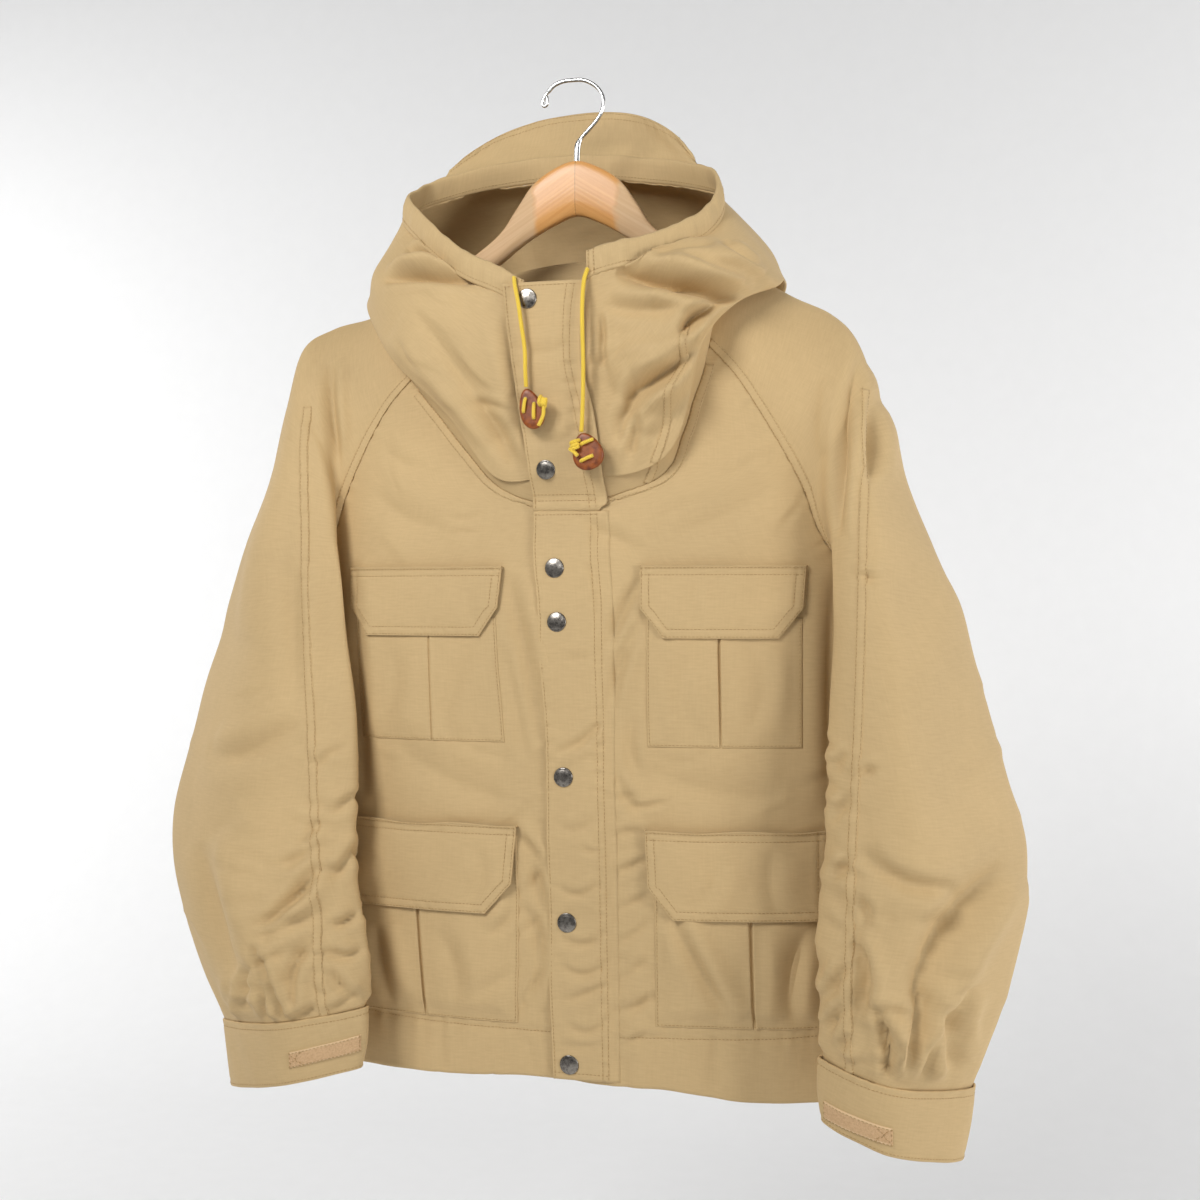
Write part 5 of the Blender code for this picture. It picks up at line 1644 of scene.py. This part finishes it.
# ------------------------------------------------------------ pockets
# Four patch pockets with an inverted pleat, topstitched on three sides, each under a doubled
# flap with cut-off corners and two rows of stitches. The lower ones are fuller.
POCKETS = {
    # name: rows of z, left x, right x; face stands off, pleat x at top and bottom, opening
    "chest_pocket_right": ([(-430, -165, -41), (-465, -164, -39), (-497, -162, -36),
                            (-525, -160, -34)], 2.2, (-97, -94), 0.15),
    "chest_pocket_left": ([(-430, 77, 190), (-465, 77, 190), (-497, 77, 190),
                           (-526, 78, 190)], 2.2, (131, 132), 1.5),
    "lower_pocket_right": ([(-596, -176, -25), (-640, -175, -24), (-690, -174, -25),
                            (-741, -173, -27)], 4.2, (-112, -103), 3.0),
    "lower_pocket_left": ([(-596, 82, 206), (-640, 82, 206), (-690, 82, 206),
                           (-736, 82, 206)], 4.2, (152, 155), 2.2),
}
POCKET_CREASES = [
    # from x z, through x z, to x z, width, height
    (86, -644, 107, -673, 137, -731, 9, -4),
    (98, -656, 123, -692, 145, -730, 7, 2),
    (193, -658, 181, -706, 187, -736, 14, -4.5),
    (166, -660, 171, -696, 165, -733, 9, 1.6),
    (-46, -674, -34, -663, -23, -652, 7, -2.2),
    (-93, -670, -77, -704, -80, -735, 12, -1.6),
    (-146, -673, -141, -708, -131, -734, 12, -3),
    (-61, -722, -44, -710, -25, -701, 8, -1.2),
    (-62, -459, -77, -486, -87, -520, 10, -1.3),
    (-132, -455, -126, -486, -143, -522, 12, -1),
    (110, -457, 103, -490, 118, -521, 10, -1),
    (151, -453, 162, -482, 149, -519, 10, -0.9),
]
FLAPS = {
    # name: rows of z, left x, right x; face stands off at the top and at the bottom
    "chest_flap_right": ([(-391, -170, -36), (-422, -169, -39), (-444, -151, -54)],
                         3.8, 5.0),
    "chest_flap_left": ([(-391, 72, 193), (-423, 73, 191), (-445, 90, 174)], 3.8, 5.0),
    "lower_flap_right": ([(-588, -180, -24), (-632, -179, -28), (-656, -178, -50)],
                         5.4, 8.0),
    "lower_flap_left": ([(-588, 76, 208), (-630, 78, 208), (-654, 97, 208)], 5.4, 8.0),
}
FLAP_CREASES = [
    # from x z, through x z, to x z, width, height
    (-61, -604, -52, -622, -67, -650, 9, -1.2),
    (119, -607, 128, -625, 111, -648, 10, -1.2),
    (171, -598, 167, -623, 174, -652, 10, -1),
    (-52, -409, -61, -424, -51, -438, 8, -0.8),
    (119, -402, 111, -420, 120, -438, 8, -0.8),
]


def edge_steps(length, fine, step):
    """Distances from one edge to the other, close together near both."""
    fine = np.asarray(fine, float)
    count = max(4, int((length - 2 * fine[-1]) / step))
    return np.concatenate([fine, np.linspace(fine[-1], length - fine[-1], count)[1:-1],
                           (length - fine)[::-1]])


def around_foot(left, right, zs, foot, start, step):
    """Path of stitches down a patch's left side, along its foot and up its right side."""
    xs = np.arange(left[-1] + start, right[-1], step)
    return np.concatenate([np.stack([left, zs], -1), np.stack([xs, 0 * xs + foot], -1),
                           np.stack([right, zs], -1)[::-1]])
def smoothed(values, passes):
    """Depths evened out, as a patch bridges small creases of the cloth behind it."""
    for _ in range(passes):
        padded = np.pad(values, 1, "edge")
        values = (padded[:-2, 1:-1] + padded[2:, 1:-1] + padded[1:-1, :-2]
                  + padded[1:-1, 2:] + 4 * padded[1:-1, 1:-1]) / 8
    return values


POCKET_INSET = 1.7
for name, (rows, away, pleat, opening) in POCKETS.items():
    top_z, foot_z = rows[0][0], rows[-1][0]
    tall = top_z - foot_z
    wide = rows[0][2] - rows[0][1]
    fine = np.array((0, 0.3, 0.8, 1.6, 2.6, 5.0))
    z = (top_z - edge_steps(tall, fine, 2.4))[:, None]
    left_x, right_x = outline(rows, z)
    down = (top_z - z) / tall
    fold_x = pleat[0] + (pleat[1] - pleat[0]) * down
    one = edge_steps(1.0, fine / (0.5 * wide), 2.4 / wide * 2)
    fine = np.array((0, 0.5, 0.9, 1.3, 1.8, 2.6, 4.0, 6.0)) / (0.5 * wide)
    half = np.concatenate([one[one < 0.9], (1 - fine)[::-1]])
    x = np.concatenate([left_x + (fold_x - left_x) * half[None, :],
                        (right_x + (fold_x - right_x) * half[None, :])[:, -2::-1]], axis=1)
    z = np.broadcast_to(z, x.shape)
    rim = np.minimum(np.minimum(x - left_x, right_x - x), z - foot_z)
    y = smoothed(depth_on(front_tree, x, z, body_y(x, z, 1)), 6)
    height = 0.3 + 0.9 * ease(rim, 0.0, 0.9) + (away - 1.2) * ease(rim, 2.0, 16.0)
    height -= 0.3 * bell((rim - POCKET_INSET) / 0.8)
    height += 0.3 * bell(rim / 7) * uneven(x + z, 111, 6, 14)
    # the inverted pleat: two folded edges that part a little towards the opening or the foot
    from_fold = x - fold_x
    gape = 0.35 + opening * np.clip(1.15 - down, 0, 1) ** (0.8 if away < 3 else 0.4)
    height -= min(1.3 + 1.2 * opening, 3.3) * np.exp(-(from_fold / (0.45 + 0.3 * gape)) ** 4)
    height += 0.5 * bell((from_fold - 2.0) / 1.6)
    height += crease_height(x, z, POCKET_CREASES) * ease(rim, 0, 12)
    height += 0.5 * drift(x, z, 112, 60, 90) * ease(rim, 0, 12)
    grid = np.stack([x, y - height, z], -1)
    grid = turned_edges(grid, 1, [(0.2, 1.0, 0)], [(-0.2, 1.0, 0)])
    grid = turned_edges(grid, 0, [], [(0, 1.0, 0.2)])
    piece = add_mesh("cloth_" + name, [(grid, cloth_uv(grid), False, 1)], cloth)
    corner_z = foot_z + POCKET_INSET
    zs = np.arange(top_z - 2, corner_z, -2.0)
    left, right = outline(rows, zs)
    path = around_foot(left + POCKET_INSET, right - POCKET_INSET, zs, corner_z, 0, 2.0)
    sewn = sew("stitches_" + name, [stitched_on(surface(grid), path)])
    finish_cloth(piece, name,
                 thick=0.5)

FLAP_EDGE = 1.7
OUTER_ROW = 1.3
INNER_ROW = 6.8
for name, (rows, top_off, low_off) in FLAPS.items():
    top_z, bend_z, foot_z = [row[0] for row in rows]
    slants = (rows[2][1] > rows[1][1] + 6, rows[2][2] < rows[1][2] - 6)
    tall = top_z - foot_z
    wide = rows[0][2] - rows[0][1]
    fine = np.array((0, 0.2, 0.6, 1.2, 1.9, 2.8, 4.4, 5.6, 6.6, 7.6, 9.0))
    downs = edge_steps(tall, fine, 2.2)
    # a row falls on the corner where the cut-off begins
    corner = top_z - bend_z
    downs[np.argmin(np.abs(downs - corner))] = corner
    z = (top_z - downs)[:, None]
    left_x, right_x = outline(rows, z)
    x = left_x + (right_x - left_x) * edge_steps(1.0, fine / wide, 2.4 / wide)[None, :]
    z = np.broadcast_to(z, x.shape)
    down = (top_z - z) / tall
    closer_l, closer_r = [np.where((z < bend_z) & slant, 0.75, 1) for slant in slants]
    rim = np.minimum(np.minimum((x - left_x) * closer_l, (right_x - x) * closer_r),
                     z - foot_z)
    y = smoothed(depth_on(front_tree, x, z, body_y(x, z, 1)), 14)
    height = top_off + (low_off - top_off) * np.clip(down, 0, 1) ** 0.8
    height += 0.8 * np.sin(np.pi * np.clip(down, 0, 1)) * ease(rim, 0, 20)
    height += 1.2 * bell((top_z - z) / 1.6)
    for groove in (OUTER_ROW, INNER_ROW):
        height -= 0.3 * bell((rim - groove) / 0.8)
    height -= 0.35 * bell((top_z - z - INNER_ROW) / 0.9)
    height += 0.35 * bell((rim - 4) / 5) * uneven(x + z, 121, 5, 12)
    height += crease_height(x, z, FLAP_CREASES) * ease(rim, 0, 10)
    height += 0.6 * drift(x, z, 122, 70, 60)
    lower = low_off > 6
    if lower:
        # the long top edge of the lower flaps rises and dips
        height += 1.2 * uneven(x, 123, 40, 90) * (1 - ease(down, 0.0, 0.5))
    height -= 0.5 * (1 - ease(rim, 0.0, 0.7))
    grid = np.stack([x, y - height, z], -1)
    if lower:
        grid[..., 2] += uneven(x, 124, 45, 120) * (1 - ease(down, 0.0, 0.5))
    near = 0.6 * FLAP_EDGE
    grid = turned_edges(grid, 1, [(0.5, FLAP_EDGE, 0), (-0.15, near, 0)],
                        [(0.15, near, 0), (-0.5, FLAP_EDGE, 0)])
    grid = turned_edges(grid, 0, [(0, top_off, -0.6), (0, near, 0.15)],
                        [(0, near, -0.15), (0, FLAP_EDGE, 0.5)])
    piece = add_mesh("cloth_" + name, [(grid, cloth_uv(grid), False, 1)], cloth)
    paths = []
    for inset, start in ((OUTER_ROW, 2.0), (INNER_ROW, INNER_ROW)):
        zs = np.arange(top_z - start, foot_z + inset, -1.5)
        left, right = outline(rows, zs)
        slant_l, slant_r = [np.where((zs < bend_z) & slant, 1.3, 1.0) for slant in slants]
        paths.append(around_foot(left + inset * slant_l, right - inset * slant_r, zs,
                                 foot_z + inset, 1, 1.5))
    xs = np.arange(rows[0][1] + 2, rows[0][2] - 2, 1.5)
    paths += [np.stack([xs, 0 * xs + top_z - level], -1) for level in (1.6, INNER_ROW)]
    patch_tree = surface(grid)
    sewn = sew("stitches_" + name, [stitched_on(patch_tree, path) for path in paths])
    finish_cloth(piece, name,
                 thick=0.4)

# ------------------------------------------------------------ press studs
# Seven spring press studs keep the storm flap shut: each cap is a dome of nickel-plated sheet,
# rolled over at its rim and riveted through the doubled cloth of the flap.
SNAPS = [
    # x, z
    (-8.8, -192),
    (1.3, -318.5),
    (5.9, -392.3),
    (8.3, -433),
    (13.2, -549.9),
    (14.6, -660.3),
    (14.6, -769.4),
]
CAP_RADIUS = 7.5
CAP_SUNK = 0.3
CAP = [
    # radius, out: half section of the cap from its middle to under its rim
    (0.0, 2.35), (1.5, 2.32), (3.0, 2.2), (4.4, 1.98), (5.4, 1.72), (6.1, 1.5), (6.5, 1.46),
    (6.9, 1.42), (7.25, 1.2), (7.45, 0.8), (7.5, 0.35), (7.3, 0.0), (6.6, -0.2),
]
nickel, tree, shader = new_material("blackened nickel")
# Nickel plating, blackened and rubbed bright again in small patches, with fine handling marks.
rubbed = noise(tree, object_place(tree), 300.0, 5.0, 0.7)
tone = ramp(tree, rubbed, 0.38, "#6C6762", 0.66, "#A39D94")
wire_up(tree, shader, {"Roughness": ranged(tree, rubbed, 0.2, 0.36),
                       "Normal": bump(tree, rubbed, 0.08, 0.0001), "Base Color": tone,
                       "Metallic": 1.0})
turn = np.linspace(0, 2 * np.pi, 40, endpoint=False)
for number, (sx, sz) in enumerate(SNAPS, 1):
    around = [(sx + CAP_RADIUS * np.cos(a), sz + CAP_RADIUS * np.sin(a)) for a in turn[::5]]
    spots = seen_on(flap_tree, around)
    middle = spots.mean(axis=0)
    _, _, spread = np.linalg.svd(spots - middle)
    out = spread[2] * (-1 if spread[2][1] > 0 else 1)
    out = unit(out + np.array([0, -1.0, 0]))
    side = unit(np.cross(out, (0, 0, 1)))
    up = np.cross(side, out)
    rings = [middle + out * (rise - CAP_SUNK) + (np.cos(turn)[:, None] * side
                                                 + np.sin(turn)[:, None] * up) * radius
             for radius, rise in CAP]
    snap = ring_piece("stud_cap_%d" % number, np.array(rings), np.array(CAP)[:, 0], nickel)
    fix(snap, "snap_nickel", "snap_%d" % number)

# ------------------------------------------------------------ drawcord
# One yellow braided nylon cord of 3.2 mm through the tunnel band. Each end leaves the band,
# hangs on the storm flap, is laced through a leather toggle and ends in a knot.
CORD_D = 3.2
CORD_R = [
    # x, y, z
    (-19, -102.3, -175.5),
    (-17, -105.6, -184),
    (-14, -108.0, -195),
    (-12, -107.4, -210),
    (-10, -104.4, -230),
    (-10, -103, -246),
    (-10, -101, -257.6),
]
CORD_L = [
    # x, y, z
    (38, -102.2, -172),
    (36, -105.2, -182),
    (35, -106.0, -200),
    (35, -105.5, -220),
    (35, -103.5, -240),
    (34, -100.5, -262),
    (33, -99, -280),
    (32, -98, -292.1),
]
braid, tree, shader = new_material("braided nylon cord")
# Braided nylon: yellow plaits crossing every 1.6 mm, painted paler as a highlight where they
# bend over and painted darker as shade between them.
lie = node(tree, "ShaderNodeUVMap", {"uv_map": "UVMap"})
hands = [node(tree, "ShaderNodeMapping", {"Vector": lie, "Rotation": (0, 0, lean)})
         for lean in (0.9, -0.9)]
plaits = [node(tree, "ShaderNodeTexWave", {"Vector": hand, "Scale": 0.28, "Distortion": 0.4})
          for hand in hands]
plait = combined(tree, "MAXIMUM", *[made.outputs["Fac"] for made in plaits])
# painted highlight on the plaits' crests and painted shade in the hollows between them; the
# roughness is the same all over
tone = ramp(tree, plait, 0.25, "#C79A12", 0.8, "#F6D443")
wire_up(tree, shader, {"Base Color": tone, "Normal": bump(tree, plait, 0.6, 0.0004),
                       "Roughness": 0.55, "Sheen Weight": 0.2})

leather, tree, shader = new_material("waxed harness leather")
# Vegetable-tanned leather, waxed: red-brown with darker patches and open grain of 0.8 mm.
place = object_place(tree)
hide = noise(tree, place, 190.0, 5.0, 0.65)
grainy = node(tree, "ShaderNodeTexVoronoi", {"Vector": place, "Scale": 1200.0})
tone = ramp(tree, hide, 0.3, "#5C2408", 0.72, "#A85A1A")
wire_up(tree, shader, {"Base Color": tone, "Normal": bump(tree, grainy, 0.4, 0.0003),
                       "Roughness": 0.42, "Coat Weight": 0.08, "Coat Roughness": 0.3})

TOGGLES = {
    # centre, width, height, lean in degrees, slots as across, up, length, lean
    "right": ((-6, -101, -274), 18, 31, 16, [(-3.6, 3.6, 10.5, 65), (2.4, -2.6, 11.5, 72)]),
    "left": ((36.5, -98, -306.5), 23, 28, 18, [(2.4, 6.4, 10.0, 3), (-1.4, -5.2, 10.0, 5)]),
}
KNOT = [
    # x, y, z about the knot's middle: three turns drawn tight, then the tail
    (-3.0, 1.0, 4.0), (-2.4, -1.8, 1.8), (-2.0, -2.0, -1.2), (-1.2, 0.8, -2.4),
    (-0.6, 2.0, 0.2), (-0.2, -0.8, 2.5), (0.4, -2.4, -0.4), (1.0, 0.2, -2.5),
    (1.4, 2.0, 0.2), (1.8, -0.6, 2.5), (2.4, -2.2, -0.2), (2.4, 0.0, -2.4),
    (2.0, -0.4, -4.0),
]
KNOTS = {
    # middle, turn in degrees, tails as points about the middle
    "right": ((4.2, -104.6, -269.8), 15, [(2.0, -0.4, -4.0), (2.6, 0.4, -9.5),
                                           (0.8, 1.6, -17.5)]),
    "left": ((28.0, -102.2, -302.0), 80, [(2.0, -0.4, -4.0), (4.6, -0.6, -1.5),
                                          (8.4, -0.8, 1.2)]),
}
TOGGLE_HALF = 2.2
TOGGLE_PROFILE = [
    # share of the width and height, depth: half section from the front's middle to the back's
    (0.0, -TOGGLE_HALF), (0.35, -TOGGLE_HALF), (0.75, -2.15), (0.9, -1.9), (0.98, -1.3),
    (1.0, -0.5), (1.0, 0.5), (0.98, 1.3), (0.9, 1.9), (0.6, TOGGLE_HALF), (0.0, TOGGLE_HALF),
]
LACE_RADIUS = 1.4
KNOT_RADIUS = 1.5
for name, path in (("right", CORD_R), ("left", CORD_L)):
    places, length = even_places(path, 70)
    line = spline(path, places)
    cord = ring_piece("cord_" + name, *swept(line, 0.5 * CORD_D, 14), braid)
    fix(cord, "drawcord_cord", "drawcord_" + name)
    centre, wide, tall, lean, slots = TOGGLES[name]
    # toggle: an egg-shaped piece of thick leather with rounded edges
    turn = np.linspace(0, 2 * np.pi, 48, endpoint=False)
    rings = []
    for share, depth_y in TOGGLE_PROFILE:
        ex = 0.5 * wide * share * np.cos(turn) * (1 - 0.25 * np.sin(turn))
        ez = 0.5 * tall * share * np.sin(turn)
        rings.append(np.stack([ex, 0 * turn + depth_y, ez], -1))
    spin = np.array(Matrix.Rotation(-np.radians(lean), 3, "Y"))
    rings = np.array(rings) @ spin.T + np.array(centre)
    toggle = facing_out(add_mesh("toggle_piece_" + name, [(rings, np.zeros((11, 49, 2)),
                                                           True, 1)], leather))
    fix(toggle, "toggle_leather", "toggle_" + name)
    # lacing: the cord where it shows in the toggle's two slots
    for number, (across_x, up_z, cut, tilt) in enumerate(slots, 1):
        t = np.linspace(-1, 1, 13)
        a = np.radians(tilt)
        px = across_x + 0.5 * cut * t * np.cos(a)
        pz = up_z + 0.5 * cut * t * np.sin(a)
        bow = -TOGGLE_HALF - 1.5 * (1 - t ** 2) ** 0.5
        lace = np.stack([px, bow, pz], -1) @ spin.T + np.array(centre)
        stub = ring_piece("cord_lace_%s_%d" % (name, number), *swept(lace, LACE_RADIUS, 10),
                          braid)
        fix(stub, "drawcord_cord")
    middle, spun, tail = KNOTS[name]
    turned = np.array(Matrix.Rotation(np.radians(spun), 3, "Y"))
    points = np.array(KNOT[:-1] + tail, float) @ turned.T + np.array(middle)
    places, _ = even_places(points, 90)
    knot = ring_piece("cord_knot_" + name, *swept(spline(points, places), KNOT_RADIUS, 12),
                      braid)
    fix(knot, "drawcord_cord", "knot_" + name)

# ------------------------------------------------------------ studio
# A pale wall and floor of one sheet of paper, a soft key light from above on the left, a weaker
# one from the right, a faint one into the hood and two that light the wall.
paper, tree, shader = new_material("pale studio paper")
fibre = noise(tree, object_place(tree), 30.0, 2.0)
wire_up(tree, shader, {"Base Color": blended(tree, fibre, "#EDEDED", "#F0F0F0"),
                       "Roughness": 0.95, "Specular IOR Level": 0.1})
FLOOR_Z = -1.3
WALL_Y = 2.0
BEND = 0.7
bend = np.linspace(0, np.pi / 2, 25)
profile = [(-3.2, FLOOR_Z), *zip(WALL_Y - BEND + BEND * np.sin(bend),
                                 FLOOR_Z + BEND - BEND * np.cos(bend)), (WALL_Y, 2.6)]
mesh = bpy.data.meshes.new("studio_sweep")
mesh.from_pydata([(x, y, z) for y, z in profile for x in (-4.0, 4.0)], [],
                 [(2 * i, 2 * i + 1, 2 * i + 3, 2 * i + 2) for i in range(len(profile) - 1)])
mesh.materials.append(paper)
mesh.shade_smooth()
placed("studio_sweep", mesh)

world = bpy.data.worlds.new("pale room")
bpy.context.scene.world = world
world.use_nodes = True
wire_up(world.node_tree, world.node_tree.nodes["Background"],
        {"Color": linear("#F2F2F2"), "Strength": 0.25})
LIGHTS = [
    # name, x, y, z, size, watts, aims at x, y, z, beam in degrees
    ("key softbox", -0.65, -1.65, 0.68, 0.7, 29.5, 0.0, 0.0, -0.42, 180),
    ("fill softbox", 2.0, -1.1, -0.3, 0.7, 17.0, 0.0, 0.0, -0.45, 180),
    ("hood light", 0.35, -1.9, 0.4, 0.9, 0.2, 0.0, 0.1, -0.06, 20),
    ("wall light left", -2.6, 0.6, 0.0, 1.6, 27.0, -1.2, 2.0, -0.7, 180),
    ("wall light right", 2.4, 0.6, 0.0, 1.6, 27.0, 0.5, 2.0, -0.7, 180),
]
for name, lx, ly, lz, size_m, watts, ax, ay, az, beam in LIGHTS:
    lamp = bpy.data.lights.new(name, "AREA")
    lamp.size = size_m
    lamp.energy = watts
    lamp.spread = np.radians(beam)
    holder = placed(name, lamp)
    holder.location = (lx, ly, lz)
    aim_at = Vector((ax - lx, ay - ly, az - lz))
    holder.rotation_euler = aim_at.to_track_quat("-Z", "Y").to_euler()
bpy.context.scene.view_settings.view_transform = "Standard"

# the camera stands a little to the wearer's left, level with the pockets
camera = bpy.data.cameras.new("camera")
camera.sensor_width = 36.0
camera.lens = 48.51
camera.clip_start = 0.01
viewer = placed("camera", camera)
viewer.location = (0.3652284, -1.2477781, -0.4164502)
viewer.rotation_euler = (np.pi / 2, 0.0, np.radians(15.5))
bpy.context.scene.camera = viewer
